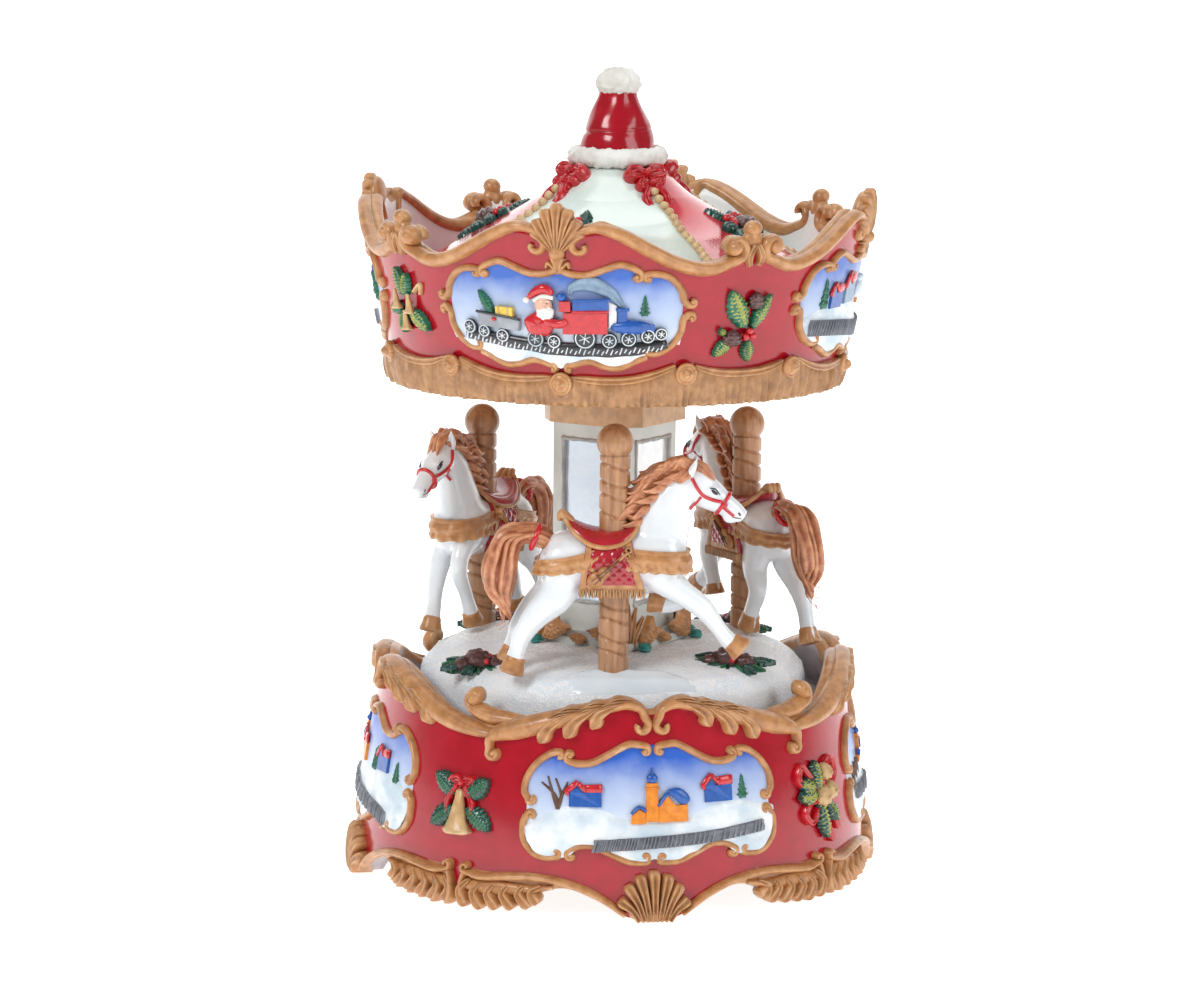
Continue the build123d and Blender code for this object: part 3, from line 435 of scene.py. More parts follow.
def dome(piece, centre, radii, paint, at, rings=8, turns=14, bumps=None, full=False):
    """Rounded lump standing on the surface; bumps(theta, phi) scales its radius."""
    rows = []
    lowest = -88 if full else -20
    for i in range(rings + 1):
        phi = radians(lowest + (89 - lowest) * i / rings)
        row = []
        for j in range(turns):
            theta = 2 * pi * j / turns
            scale = bumps(theta, phi) if bumps else 1.0
            row.append(at(centre[0] + radii[0] * scale * cos(phi) * cos(theta),
                          centre[1] + radii[1] * scale * cos(phi) * sin(theta),
                          centre[2] + radii[2] * scale * sin(phi)))
        rows.append(row)
    piece.grid(rows, paint, closed=True, ends=True)


def leaf(piece, root, tip, half, paint, at, teeth=3, depth=0.28, lift=0.9, vein=None, bend=0.0, base=0.0):
    """Leaf from root to tip with toothed edges, a mid rib and side veins."""
    ru, rv = root
    length = hypot(tip[0] - ru, tip[1] - rv)
    cu, cv = (tip[0] - ru) / length, (tip[1] - rv) / length
    rows, long_steps, wide_steps = [], 30, 10
    for i in range(long_steps + 1):
        t = i / long_steps
        tooth = abs(((t * (teeth + 0.5)) % 1.0) - 0.5) * 2
        width = half * (sin(pi * min(1.0, 0.06 + t * 0.94)) ** 0.75) * (1 - depth * tooth) + 0.04
        sway = bend * sin(pi * t)
        row = []
        for j in range(wide_steps + 1):
            s = -1 + 2 * j / wide_steps
            ridge = 1 - abs(s) ** 2.2
            rib = 0.16 * exp(-(s / 0.10) ** 2)
            side = 0.10 * cos(2 * pi * (t * (teeth + 0.5) * 1.6 - abs(s) * 0.9))
            height = base + lift * (0.35 + 0.65 * ridge
                                    * sin(pi * (0.15 + 0.7 * t))) - rib * lift + side * lift
            if abs(s) == 1:
                height = base - 0.1
            along = t * length
            across = s * width + sway
            row.append(at(ru + cu * along - cv * across, rv + cv * along + cu * across, height))
        rows.append(row)
    if vein is None:
        piece.grid(rows, paint)
        return
    start = len(piece.paints)
    piece.grid(rows, paint)
    for i in range(long_steps):
        for j in range(wide_steps):
            s = -1 + 2 * (j + 0.5) / wide_steps
            t = (i + 0.5) / long_steps
            along_side = ((t * (teeth + 0.5) * 1.6 - abs(s) * 0.9) % 1.0) < 0.24 and 0.15 < abs(s) < 0.85
            if 0.08 < t < 0.94 and (abs(s) < 0.12 or along_side):
                piece.paints[start + i * wide_steps + j] = vein


def pine_cone(piece, centre, size, paint, at, tall=1.25):
    """Cone of overlapping scales, its tip towards +v."""
    rows, rings, turns = [], 26, 30
    for i in range(rings + 1):
        phi = radians(-88 + 176 * i / rings)
        row = []
        for j in range(turns):
            theta = 2 * pi * j / turns
            band = rings * 0.24 * (i / rings)
            scale = 1 + 0.36 * (band % 1.0) * abs(cos(3.5 * theta + (pi / 2 if int(band) % 2 else 0)))
            wide = size * cos(phi) * (1.05 - 0.22 * sin(phi)) * scale
            row.append(at(centre[0] + wide * cos(theta), centre[1] + size * tall * sin(phi),
                          centre[2] + wide * sin(theta) * 0.8))
        rows.append(row)
    piece.grid(rows, paint, closed=True, ends=True)


def bow(piece, centre, size, paint, at, tilt=0.0):
    """Ribbon bow: two ridged loops, two tails and a knot."""
    turn = radians(tilt)

    def tilted(u, v, w):
        return at(centre[0] + u * cos(turn) - v * sin(turn), centre[1] + u * sin(turn) + v * cos(turn), w)
    for side in (-1, 1):
        loop = [(0, 0, 0.25 * size, 0.7 * size), (side * 0.7 * size, 0.42 * size, 0.42 * size, 0.85 * size),
                (side * 1.35 * size, 0.34 * size, 0.50 * size, 0.95 * size),
                (side * 1.5 * size, -0.10 * size, 0.42 * size, 0.9 * size),
                (side * 0.9 * size, -0.22 * size, 0.34 * size, 0.75 * size), (0, 0, 0.2 * size, 0.6 * size)]
        stroke(piece, loop, paint, tilted, GROOVED)
        tail = [(side * 0.1 * size, -0.1 * size, 0.22 * size, 0.6 * size),
                (side * 0.55 * size, -0.85 * size, 0.34 * size, 0.62 * size),
                (side * 0.75 * size, -1.55 * size, 0.44 * size, 0.5 * size)]
        stroke(piece, tail, paint, tilted, GROOVED)
    dome(piece, (0, 0, 0.5 * size), (0.42 * size, 0.36 * size, 0.62 * size), paint, tilted)


def bell(piece, centre, size, paint, at):
    """Small bell with a flared lip, creased by hand."""
    outline = [(1.0, 0.10), (0.92, 0.28), (0.55, 0.30), (0.05, 0.42), (-0.45, 0.55), (-0.85, 0.78),
               (-1.0, 0.95), (-1.1, 0.80)]
    rows = []
    for v, reach in outline:
        row = []
        for j in range(20):
            theta = 2 * pi * j / 20
            crease = 1 + 0.06 * cos(5 * theta + 3 * v)
            row.append(at(centre[0] + reach * size * crease * cos(theta), centre[1] + v * size * 1.15,
                          centre[2] + reach * size * 0.72 * crease * sin(theta)))
        rows.append(row)
    piece.grid(rows, paint, closed=True, ends=True)


def block(piece, outline, depth, paint, at):
    """Painted relief block with a flat face and softened edges."""
    centre = np.mean(np.array(outline, float), axis=0)
    bevel = 0.12

    def ring(inset, w):
        made = []
        for u, v in outline:
            gap = np.array((u, v)) - centre
            size = np.linalg.norm(gap) or 1.0
            made.append(at(*(centre + gap * (1 - inset / size)), w))
        return made
    piece.grid([ring(0, -0.3), ring(0, depth - bevel), ring(bevel, depth)], paint, closed=True, ends=True,
               rounded=False)


# ---------------------------------------------------------------- the two carved walls
class Wall:
    """One quarter of a wall, flattened: u runs round it from the scene's centre, v is height."""

    def __init__(self, centre, radius, scale, flip=1):
        self.centre = centre
        self.radius = radius
        self.scale = scale
        self.flip = flip

    def __call__(self, u, v, w):
        return round_z(self.radius(v) + w, self.centre + self.flip * degrees(u / self.scale), v)

    def mirrored(self):
        return Wall(self.centre, self.radius, self.scale, -self.flip)


BASE_SCALE = 52.0
ROOF_SCALE = 50.0
BASE_DEGREE = radians(1) * BASE_SCALE
ROOF_DEGREE = radians(1) * ROOF_SCALE
WALL_THICKNESS = 3.7
DECK_EDGE = 30.0      # where the flat decks start, inside the walls
BASE_SCENE_EDGE, ROOF_SCENE_EDGE, ROOF_SNOW_EDGE = 29.2, 29.0, 28.2    # degrees from a scene's centre
SNOW_PROUD, SKY_PROUD, SUNK = 0.8, 0.25, -0.3
FRAME_HALF, FRAME_PROUD = 0.76, 1.2
DECK_TOP, DECK_BOTTOM = 35.0, 31.5
BUSH_RADIUS = box_mm("shaft_bush")[1][0] - 0.01
rim_front = eased([(0, 41.5), (3, 43.2), (6, 43.8), (10, 43.4), (15, 42.3), (21, 41.0), (27, 39.4),
                   (32, 38.2), (37, 37.8), (45, 38.2)])
rim_side = eased([(0, 43.0), (4, 45.3), (9, 46.0), (17, 45.4), (25, 43.4), (32, 41.0), (38, 39.0),
                  (45, 38.2)])
foot_line = eased([(0, 0.8), (6, 0.9), (8, 1.9), (13.5, 4.7), (20, 6.5), (24, 5.6), (27, 3.8), (33, 3.3),
                   (40, 3.2), (45, 4.0)])
low_rail_line = eased([(6.3, 1.4), (9.5, 3.6), (13.5, 5.7), (18, 7.4), (22.9, 8.3), (28, 8.6), (33.5, 8.4),
                       (38.5, 8.3), (41.5, 8.9)])


def quarter(azimuth, yaw):
    """Which scene an azimuth belongs to, and how far it is from that scene's centre."""
    turn = (azimuth - yaw + 45) % 360
    return int(turn // 90), turn % 90 - 45


def azimuth_of(point):
    return degrees(atan2(point[0], -point[1]))


def base_paint(point):
    scene, away = quarter(azimuth_of(point), BASE_YAW)
    reach = hypot(point[0], point[1])
    rim = (rim_side if scene % 2 else rim_front)(abs(away))
    if reach > base_radius(point[2]) - 0.4:
        if point[2] > rim - 0.4:
            return "gold"
        return "gold" if point[2] < low_rail_line(abs(away)) and abs(away) < 42.0 else "red"
    if point[2] > rim - 1.2:
        return "gold"
    return "grey_wall"


wall = Piece("base_wall")
columns = []
COLUMN_COUNT = 288
for i in range(COLUMN_COUNT):
    azimuth = 360.0 * i / COLUMN_COUNT
    scene, away = quarter(azimuth, BASE_YAW)
    rim = (rim_side if scene % 2 else rim_front)(abs(away))
    foot = foot_line(abs(away))
    profile = [(base_radius(z), z) for z in np.linspace(foot, rim, 26)]
    top = base_radius(rim)
    profile += [(top - 0.5, rim + 0.6), (top - 1.3, rim + 0.9), (top - 2.2, rim + 0.9),
                (top - 3.1, rim + 0.5)]
    profile += [(base_radius(z) - WALL_THICKNESS, z) for z in np.linspace(rim - 0.2, DECK_TOP, 6)]
    profile += [(DECK_EDGE, DECK_TOP), (BUSH_RADIUS, DECK_TOP), (BUSH_RADIUS, DECK_BOTTOM),
                (DECK_EDGE, DECK_BOTTOM)]
    profile += [(base_radius(z) - WALL_THICKNESS, z) for z in np.linspace(DECK_BOTTOM, foot + 0.2, 6)]
    columns.append([round_z(r, azimuth, z) for r, z in profile])
columns.append(columns[0])
wall.grid(columns, base_paint, closed=True)
wall.done("base", "base_shell")


def both_sides(at):
    """The wall as it is, and mirrored about its scene's centre."""
    return (at, at.mirrored())


def round_wall(unit, rows):
    """Rows whose first value goes from degrees round the wall to millimetres."""
    return [(row[0] * unit, *row[1:]) for row in rows]


def circle(u, v, radius, half, proud, angles):
    """Stroke points round a centre."""
    return [(u + radius * cos(radians(a)), v + radius * sin(radians(a)), half, proud) for a in angles]


def frame_scroll(piece, at, unit, start, body, end):
    """A gold C-scroll: curled start, body and curled end, each in degrees and millimetres."""
    line = []
    if start:
        line += curl((start[0] * unit, start[1]), *start[2:], FRAME_HALF, FRAME_PROUD)[::-1]
    line += [(u * unit, z, FRAME_HALF, FRAME_PROUD) for u, z in body]
    line += curl((end[0] * unit, end[1]), *end[2:], FRAME_HALF, FRAME_PROUD)
    stroke(piece, line, "gold", at, steps=5)
    for tip in (start, end):
        if tip:
            dome(piece, (tip[0] * unit, tip[1], 0.2), (0.5 * tip[2], 0.5 * tip[2], FRAME_PROUD * 0.95),
                 "gold", at, 6, 10)


trim = Piece("base_trim")
sky_panels = Piece("base_scenes")
decor = Piece("base_ornaments")
MAT["base_sky"] = sky("base_sky", 13.0, 36.0, (0.66, 0.76, 0.87), (0.012, 0.10, 0.52))
MAT["roof_sky"] = sky("roof_sky", 113.0, 134.0, (0.62, 0.72, 0.84), (0.03, 0.12, 0.50))
base_frame_high = eased([(0, 35.9), (2, 35.7), (5.5, 35.8), (9.9, 33.8), (14.4, 31.9), (17.3, 31.8),
                         (19.5, 33.2), (22, 33.6), (24.5, 32.9), (27.2, 30.2), (28.8, 26.6),
                         (29.2, 24.0)])
base_frame_low = eased([(0, 13.0), (2.7, 12.5), (5.7, 12.8), (9.1, 14.2), (13.5, 15.7), (16.3, 15.3),
                        (18.5, 13.4), (21.2, 13.0), (24.4, 13.2), (27.2, 15.2), (28.8, 18.8),
                        (29.2, 21.5)])


def scene_panel(piece, at, low, high, edge, unit, paint):
    """The painted ground that a scene stands on, filling its frame."""
    rows = []
    for i in range(61):
        u = edge * (-1 + 2 * i / 60)
        bottom, top = low(abs(u)), high(abs(u))
        rise = SUNK if abs(u) > edge - 0.01 else SKY_PROUD
        rows.append([at(u * unit, z, w) for z, w in [(bottom, SUNK), (bottom + 0.05, rise)]
                     + [(z, rise) for z in np.linspace(bottom + 0.3, top - 0.3, 9)]
                     + [(top - 0.05, rise), (top, SUNK)]])
    piece.grid(rows, paint)


def snow_hills(piece, at, low, crest, edge, unit, proud):
    """Snow that fills a frame from its foot to the crest line, softly lumpy."""
    rows = []
    for i in range(91):
        u = edge * (-1 + 2 * i / 90)
        bottom, top = low(abs(u)), crest(u)
        row = []
        for j in range(11):
            t = j / 10
            z = bottom + (top - bottom) * t
            lumps = 0.14 * sin(0.9 * u + 1.7 * z) + 0.10 * sin(0.37 * u - 2.3 * z)
            row.append(at(u * unit, z, proud * (1 - t**5) * (1 + lumps) + 0.12))
        rows.append(row)
    piece.grid(rows, "scene_snow")


def house(piece, at, u, z, wide, tall, wall_paint, roof_paint):
    """Tiny relief house with a gable end and a side roof."""
    depth = 0.9
    gable = [(u - wide / 2, z), (u + wide / 2, z), (u + wide / 2, z + 0.62 * tall),
             (u - wide * 0.1, z + 0.60 * tall), (u - wide * 0.28, z + 0.80 * tall),
             (u - wide / 2, z + 0.58 * tall)]
    block(piece, gable, depth, wall_paint, at)
    eaves = [(u - wide * 0.24, z + tall), (u - wide * 0.58, z + 0.62 * tall),
             (u - wide * 0.50, z + 0.54 * tall)]
    stroke(piece, [(*p, 0.09 * wide, depth * 0.5) for p in eaves], roof_paint, at, base=depth * 0.85,
           steps=2)
    stroke(piece, [(u - wide * 0.05, z + 0.74 * tall, 0.16 * tall, depth * 0.4),
                   (u + wide * 0.52, z + 0.76 * tall, 0.18 * tall, depth * 0.4)], roof_paint, at,
           base=depth * 0.8, steps=3)
    stroke(piece, [(u - wide * 0.24, z + 0.98 * tall, 0.07 * wide, depth * 0.5),
                   (u + wide * 0.02, z + 0.64 * tall, 0.07 * wide, depth * 0.5)], roof_paint, at,
           base=depth * 0.85, steps=2)


def church(piece, at, u, z, size):
    """Orange church with an onion-domed tower, a nave and a small porch."""
    s = size
    block(piece, [(u - 2.1 * s, z), (u + 0.7 * s, z), (u + 0.6 * s, z + 8.4 * s),
                  (u - 1.9 * s, z + 8.4 * s)], 1.1, "orange", at)
    stroke(piece, [(u - 2.3 * s, z + 7.3 * s, 0.3 * s, 0.4), (u + 0.9 * s, z + 7.3 * s, 0.3 * s, 0.4)],
           "orange", at, base=1.0, steps=2)
    dome(piece, (u - 0.6 * s, z + 9.4 * s, 0.7), (1.25 * s, 1.15 * s, 0.8), "blue", at)
    stroke(piece, [(u - 0.6 * s, z + 9.8 * s, 0.6 * s, 0.7), (u - 0.6 * s, z + 11.6 * s, 0.1 * s, 0.5)],
           "blue", at, base=0.5, steps=3)
    block(piece, [(u + 0.6 * s, z - 0.2), (u + 7.2 * s, z - 0.1), (u + 7.2 * s, z + 3.6 * s),
                  (u + 4.6 * s, z + 3.4 * s), (u + 2.6 * s, z + 5.6 * s), (u + 0.7 * s, z + 3.2 * s)],
          1.0, "orange", at)
    stroke(piece, [(u + 0.6 * s, z + 3.4 * s, 0.35 * s, 0.5), (u + 2.7 * s, z + 6.2 * s, 0.4 * s, 0.5)],
           "blue", at, base=0.9, steps=3)
    stroke(piece, [(u + 2.8 * s, z + 6.4 * s, 0.5 * s, 0.5), (u + 4.9 * s, z + 6.0 * s, 1.3 * s, 0.6),
                   (u + 6.5 * s, z + 4.6 * s, 1.3 * s, 0.5), (u + 7.0 * s, z + 3.9 * s, 0.7 * s, 0.3)],
           "blue", at, base=0.85, steps=4)
    block(piece, [(u - 5.2 * s, z - 0.4), (u - 2.0 * s, z - 0.4), (u - 2.1 * s, z + 2.0 * s),
                  (u - 3.6 * s, z + 2.8 * s), (u - 5.1 * s, z + 1.4 * s)], 1.0, "orange", at)
    stroke(piece, [(u - 5.2 * s, z + 1.8 * s, 0.35 * s, 0.5), (u - 3.5 * s, z + 3.3 * s, 0.4 * s, 0.5),
                   (u - 2.1 * s, z + 2.4 * s, 0.35 * s, 0.5)], "blue", at, base=0.9, steps=3)


def fir(piece, at, u, z, tall):
    """Small fir tree of drooping tiers."""
    for i in range(4):
        rise, reach = z + tall * (0.16 + 0.2 * i), tall * (0.24 - 0.05 * i)
        dome(piece, (u, rise, 0.3), (reach, tall * 0.17, 0.75 - 0.1 * i), "green", at, 5, 12,
             lambda theta, phi: 1 + 0.16 * cos(6 * theta))
    stroke(piece, [(u, z + tall * 0.7, 0.09 * tall, 0.6), (u, z + tall, 0.02 * tall, 0.4)], "green", at,
           steps=3)


def bare_tree(piece, at, u, z, tall):
    """Leafless tree with forked branches."""
    for tip, bend in (((-0.55, 0.80), -0.1), ((-0.1, 0.95), 0.1), ((0.30, 0.85), 0.12),
                      ((-0.35, 1.0), -0.16)):
        stroke(piece, [(u, z, 0.07 * tall, 0.5), (u + bend * tall, z + 0.42 * tall, 0.055 * tall, 0.5),
                       (u + tip[0] * tall, z + tip[1] * tall, 0.03 * tall, 0.4)], "bark", at, base=0.2,
               steps=4)


def track(piece, at, path, half, ties):
    """Railway: a raised bed with ties across it, in path's (u, z) line."""
    stroke(piece, [(u, z, half, 0.5) for u, z in path], "rail_grey", at, base=0.95, steps=6)
    line = smoothed([(u, z) for u, z in path], 12)
    for i in range(ties):
        spot = line[int((i + 0.5) / ties * (len(line) - 1))]
        stroke(piece, [(spot[0] - 0.35, spot[1] - half * 0.95, 0.17, 0.42),
                       (spot[0] + 0.35, spot[1] + half * 0.95, 0.17, 0.42)], "rail_grey", at, base=1.35,
               steps=2)


def front_village(at, unit):
    crest = eased([(-30, 18.5), (-27, 20.0), (-24, 22.0), (-20, 23.6), (-15, 23.8), (-11, 22.9),
                   (-7, 21.6), (-2, 20.7), (4, 20.6), (8, 21.2), (12, 22.9), (16, 24.0), (20, 24.2),
                   (25, 23.2), (30, 21.8)])
    snow_hills(sky_panels, at, base_frame_low, crest, BASE_SCENE_EDGE, unit, SNOW_PROUD)
    church(sky_panels, at, 0.3, 20.5, 0.93)
    house(sky_panels, at, -15.2 * unit, 23.4, 6.6, 5.0, "blue", "bright_red")
    house(sky_panels, at, 15.2 * unit, 23.9, 6.0, 5.6, "blue", "bright_red")
    fir(sky_panels, at, 21.4 * unit, 24.0, 5.0)
    bare_tree(sky_panels, at, -21.4 * unit, 22.8, 6.4)
    track(sky_panels, at, round_wall(unit, [(-13, 15.6), (-8, 15.9), (0, 16.3), (12, 17.0), (26, 18.3)]),
          1.25, 40)


def side_village(at, unit, lean):
    crest = eased([(-30, 19.0), (-24, 22.5), (-14, 25.2), (-5, 24.0), (4, 22.6), (14, 24.6), (24, 23.4),
                   (30, 20.5)])
    snow_hills(sky_panels, at, base_frame_low, crest, BASE_SCENE_EDGE, unit, SNOW_PROUD)
    house(sky_panels, at, 15 * unit, 24.0, 5.4, 5.2, "blue", "bright_red")
    fir(sky_panels, at, 9.5 * unit, 23.4, 5.0)
    house(sky_panels, at, -4 * unit, 23.4, 6.6, 6.2, "orange", "bright_red")
    church(sky_panels, at, -14 * unit, 24.4, 0.62)
    fir(sky_panels, at, 22 * unit, 22.6, 4.4)
    track(sky_panels, at, round_wall(unit, [(-26, 18.5 + lean), (-12, 19.0 + lean * 0.4), (2, 17.6),
                                            (12, 16.4), (20, 14.9)]), 1.5, 34)
    for i in range(3):
        bare_tree(sky_panels, at, (-24 + 2.6 * i) * unit, 20.5 + i * 0.5, 4.0)


for scene in range(SIDES):
    side_type = scene % 2 == 1
    quarter_wall = Wall(BASE_YAW + 90 * scene, base_radius, BASE_SCALE)
    scene_panel(sky_panels, quarter_wall, base_frame_low, base_frame_high, BASE_SCENE_EDGE, BASE_DEGREE,
                "base_sky")
    if side_type:
        side_village(quarter_wall, BASE_DEGREE, 0.8 if scene == 1 else 0.0)
    else:
        front_village(quarter_wall, BASE_DEGREE)
    for at in both_sides(quarter_wall):
        unit = BASE_DEGREE
        # cartouche of four C-scrolls a side
        for start, body, end in (((1.75, 34.7, 1.0, 80, 280),
                                  [(3.4, 35.9), (5.8, 35.9), (9.9, 34.0), (13.6, 32.3), (17.0, 31.9)],
                                  (18.9, 33.5, 1.15, -75, 250)),
                                 ((21.4, 33.4, 0.75, 70, 250),
                                  [(23.8, 33.6), (26.8, 31.6), (28.9, 28.6), (29.3, 26.0)],
                                  (27.4, 24.5, 1.0, 10, -270)),
                                 ((27.3, 21.1, 1.0, -10, 270),
                                  [(29.2, 19.6), (28.9, 16.2), (26.8, 13.7), (24.2, 12.8)],
                                  (21.4, 13.9, 0.9, -100, -230)),
                                 ((18.1, 13.4, 1.05, 60, -270),
                                  [(16.2, 15.4), (13.0, 15.4), (9.1, 13.8), (5.6, 12.4)],
                                  (2.1, 13.3, 1.15, -95, -250))):
            frame_scroll(trim, at, unit, start, body, end)
        # foot rail, its corner curl and the acanthus lobes under it
        rail = round_wall(unit, [(6.3, 1.3, 0.6, 2.0), (9.5, 3.6, 0.75, 1.9), (13.5, 5.8, 0.8, 1.8),
                                 (18, 7.4, 0.8, 1.7), (23, 8.3, 0.8, 1.7), (28, 8.5, 0.85, 1.8),
                                 (33.5, 8.1, 0.9, 2.0), (38.5, 7.6, 0.8, 2.2), (41.2, 8.0, 0.7, 2.1)])
        rail += curl((42.4 * unit, 9.2), 0.95, -60, 270, 0.6, 2.0)
        stroke(trim, rail, "gold", at, steps=5)
        for root, tip in (((24.5, 6.7), (25.6, 3.9)), ((28.5, 6.6), (27.6, 2.9)), ((32.0, 6.4), (31.3, 2.4)),
                          ((35.5, 6.2), (35.0, 2.1)), ((38.8, 6.2), (38.7, 1.8)), ((41.6, 6.6), (42.6, 2.0))):
            bend = (root[0] + tip[0]) / 2 + 1.4
            stroke(trim, [(root[0] * unit, root[1], 0.55, 1.5),
                          (bend * unit, (root[1] + tip[1]) / 2 + 0.3, 0.95, 2.4),
                          (tip[0] * unit, tip[1], 1.35, 2.6),
                          (tip[0] * unit - 0.5, tip[1] - 0.7, 0.8, 1.9)], "gold", at, GROOVED)
        for path in ([(22, 6.6, 0.5, 1.0), (27, 5.9, 0.9, 1.2), (33, 5.6, 1.5, 1.2), (39, 5.4, 1.6, 1.3),
                      (42.5, 5.2, 0.9, 1.2)],
                     [(42.9, 7.9, 0.55, 1.8), (43.6, 5.8, 0.7, 1.9), (43.4, 3.6, 0.9, 2.0),
                      (44.0, 1.9, 0.9, 1.8)]):
            stroke(trim, round_wall(unit, path), "gold", at)
        # rim rail
        if side_type:
            top = curl((2.8 * unit, 41.2), 1.9, 120, 260, 0.95, 1.7)[::-1]
            top += round_wall(unit, [(3.0, 44.8, 1.1, 1.8), (6, 46.0, 1.3, 1.9), (11, 46.2, 1.5, 2.0),
                                     (17, 45.2, 1.7, 2.1), (25, 42.8, 2.0, 2.2), (32, 40.4, 2.1, 2.3),
                                     (39, 38.5, 2.0, 2.3), (45, 37.4, 1.6, 2.2), (50, 36.8, 1.1, 1.9),
                                     (54, 36.6, 0.5, 1.0)])
            stroke(trim, top, "gold", at, steps=5)
            tips = [((9, 45.0), (15.5, 41.3)), ((14, 44.4), (21, 39.8)), ((19.5, 43.2), (26.5, 38.6)),
                    ((27, 41.2), (33.5, 37.2))]
        else:
            top = curl((2.7 * unit, 39.7), 1.9, 120, 260, 0.95, 1.7)[::-1]
            top += round_wall(unit, [(2.6, 43.1, 1.0, 1.8), (5.6, 44.2, 1.3, 2.1), (9, 43.9, 1.4, 2.0),
                                     (15, 42.6, 1.7, 2.1), (21, 41.1, 1.9, 2.2), (27, 39.5, 2.1, 2.3),
                                     (32, 38.2, 2.2, 2.3), (36, 37.3, 1.9, 2.4), (38.6, 35.8, 1.1, 2.2)])
            top += curl((37.3 * unit, 33.0), 1.55, 35, -270, 0.85, 1.9)
            stroke(trim, top, "gold", at, steps=5)
            dome(trim, (37.3 * unit, 33.0, 0.4), (0.8, 0.8, 1.6), "gold", at)
            knob = round_wall(unit, [(29, 39.6, 0.8, 1.4), (35, 39.8, 1.3, 1.9), (40, 40.0, 1.6, 2.2),
                                     (43.6, 40.8, 1.5, 2.2)])
            knob += curl((44.6 * unit, 43.2), 1.9, -60, 270, 1.2, 2.2)
            stroke(trim, knob, "gold", at, steps=5, base=-1.2)
            dome(trim, (44.6 * unit, 43.2, -0.6), (1.5, 1.5, 2.3), "gold", at)
            tips = [((8.5, 43.6), (14.3, 39.6)), ((13.5, 42.8), (20.4, 37.6)), ((19.5, 41.6), (26.4, 36.3))]
        for root, tip in tips:
            middle = (0.55 * root[0] + 0.45 * tip[0] + 1.2, 0.4 * root[1] + 0.6 * tip[1] + 0.9)
            stroke(trim, round_wall(unit, [(root[0], root[1] + 0.4, 0.5, 2.5),
                                           (middle[0], middle[1], 1.3, 2.6),
                                           (tip[0] - 1.0, tip[1] + 0.8, 1.7, 2.3),
                                           (tip[0], tip[1] - 0.5, 0.4, 0.9)]), "gold", at, GROOVED)
            for shift in (0.0, 1.7):
                vein = [(root[0] - 3.4 + shift, root[1] + 1.5 - 0.35 * shift, 0.25, 2.2),
                        (root[0] + shift, root[1] + 1.5 - 0.5 * shift, 0.55, 2.75),
                        (root[0] + 3.0 + shift, root[1] + 0.2 - 0.5 * shift, 0.2, 2.2)]
                stroke(trim, round_wall(unit, vein), "gold", at, GROOVED)
    # shell at the foot
    for i in range(-3, 4):
        tip_u, tip_v = (0, 2.9, 5.2, 6.8)[abs(i)] * (1 if i > 0 else -1), (10.6, 9.7, 7.7, 4.6)[abs(i)]
        stroke(trim, [(i * 0.95, 0.3, 0.75, 3.1), (0.5 * tip_u + i * 0.3, 0.48 * tip_v + 0.4, 0.85, 3.2),
                      (0.92 * tip_u, 0.90 * tip_v, 1.25, 2.6), (tip_u, tip_v, 0.8, 1.7)], "gold",
               quarter_wall, GROOVED)
    dome(trim, (0, 1.6, -0.6), (5.2, 2.2, 3.4), "gold", quarter_wall)


def at_corner(yaw, radius, scale, corner):
    return Wall(yaw + 45 + 90 * corner, radius, scale)


for corner in range(SIDES):
    at = at_corner(BASE_YAW, base_radius, BASE_SCALE, corner)
    if corner % 2 == 1:
        # four toothed leaves, a bow and a bell
        for tip, root in (((-7.0, 27.6), (-1.6, 23.6)), ((6.4, 27.4), (1.6, 23.4)),
                          ((-7.2, 16.8), (-1.8, 21.0)), ((7.4, 17.0), (1.8, 21.2))):
            leaf(decor, root, tip, 2.5, "dark_green", at, teeth=6, depth=0.3, lift=1.7, vein="leaf_mid",
                 base=0.2)
        bow(decor, (0, 26.2), 1.75, "bright_red", at)
        for side in (-1, 1):
            stroke(decor, [(side * 1.0, 25.6, 0.45, 1.0), (side * 2.9, 22.6, 0.55, 1.2),
                           (side * 3.3, 20.0, 0.45, 1.0), (side * 5.2, 18.6, 0.35, 0.7)], "bright_red",
                   at, GROOVED, base=0.6)
        bell(decor, (-0.3, 20.6, 0.8), 3.7, "pale_gold", at)
    else:
        # ribbon loops, holly and a rose with small bells
        for loop in ([(0.0, 22.5), (-3.4, 26.4), (-5.4, 28.4), (-6.4, 25.6), (-3.0, 22.6)],
                     [(0.5, 23.0), (3.0, 27.4), (5.6, 28.6), (6.0, 25.4), (2.6, 22.4)],
                     [(-0.5, 20.8), (-3.6, 20.6), (-5.2, 18.4), (-3.4, 16.6), (-1.0, 19.0)]):
            stroke(decor, [(u, z, 0.75, 1.3) for u, z in loop], "bright_red", at, GROOVED, base=0.2)
        for tail in ([(0.5, 19.0), (2.0, 16.0), (3.6, 11.8)], [(3.5, 20.0), (5.0, 17.0), (6.2, 14.0)]):
            stroke(decor, [(u, z, 0.8, 1.1) for u, z in tail], "bright_red", at, GROOVED, base=0.2)
        for root, tip in (((-1.5, 22.2), (-7.0, 22.0)), ((-0.6, 23.0), (-1.2, 29.2)),
                          ((-0.4, 20.6), (1.2, 12.6)), ((2.5, 20.0), (5.4, 15.6)),
                          ((-2.0, 23.4), (-6.4, 25.2))):
            leaf(decor, root, tip, 2.1, "dark_green", at, teeth=5, depth=0.3, lift=1.7, vein="leaf_vein",
                 base=0.5)
        for u, z, size in ((0.6, 21.6, 2.3), (3.4, 22.4, 1.9), (2.0, 26.4, 1.8)):
            dome(decor, (u, z, 1.0), (size, size, 1.9), "pale_gold", at, 9, 18,
                 lambda theta, phi: 1 + 0.10 * sin(5 * theta + 9 * phi))

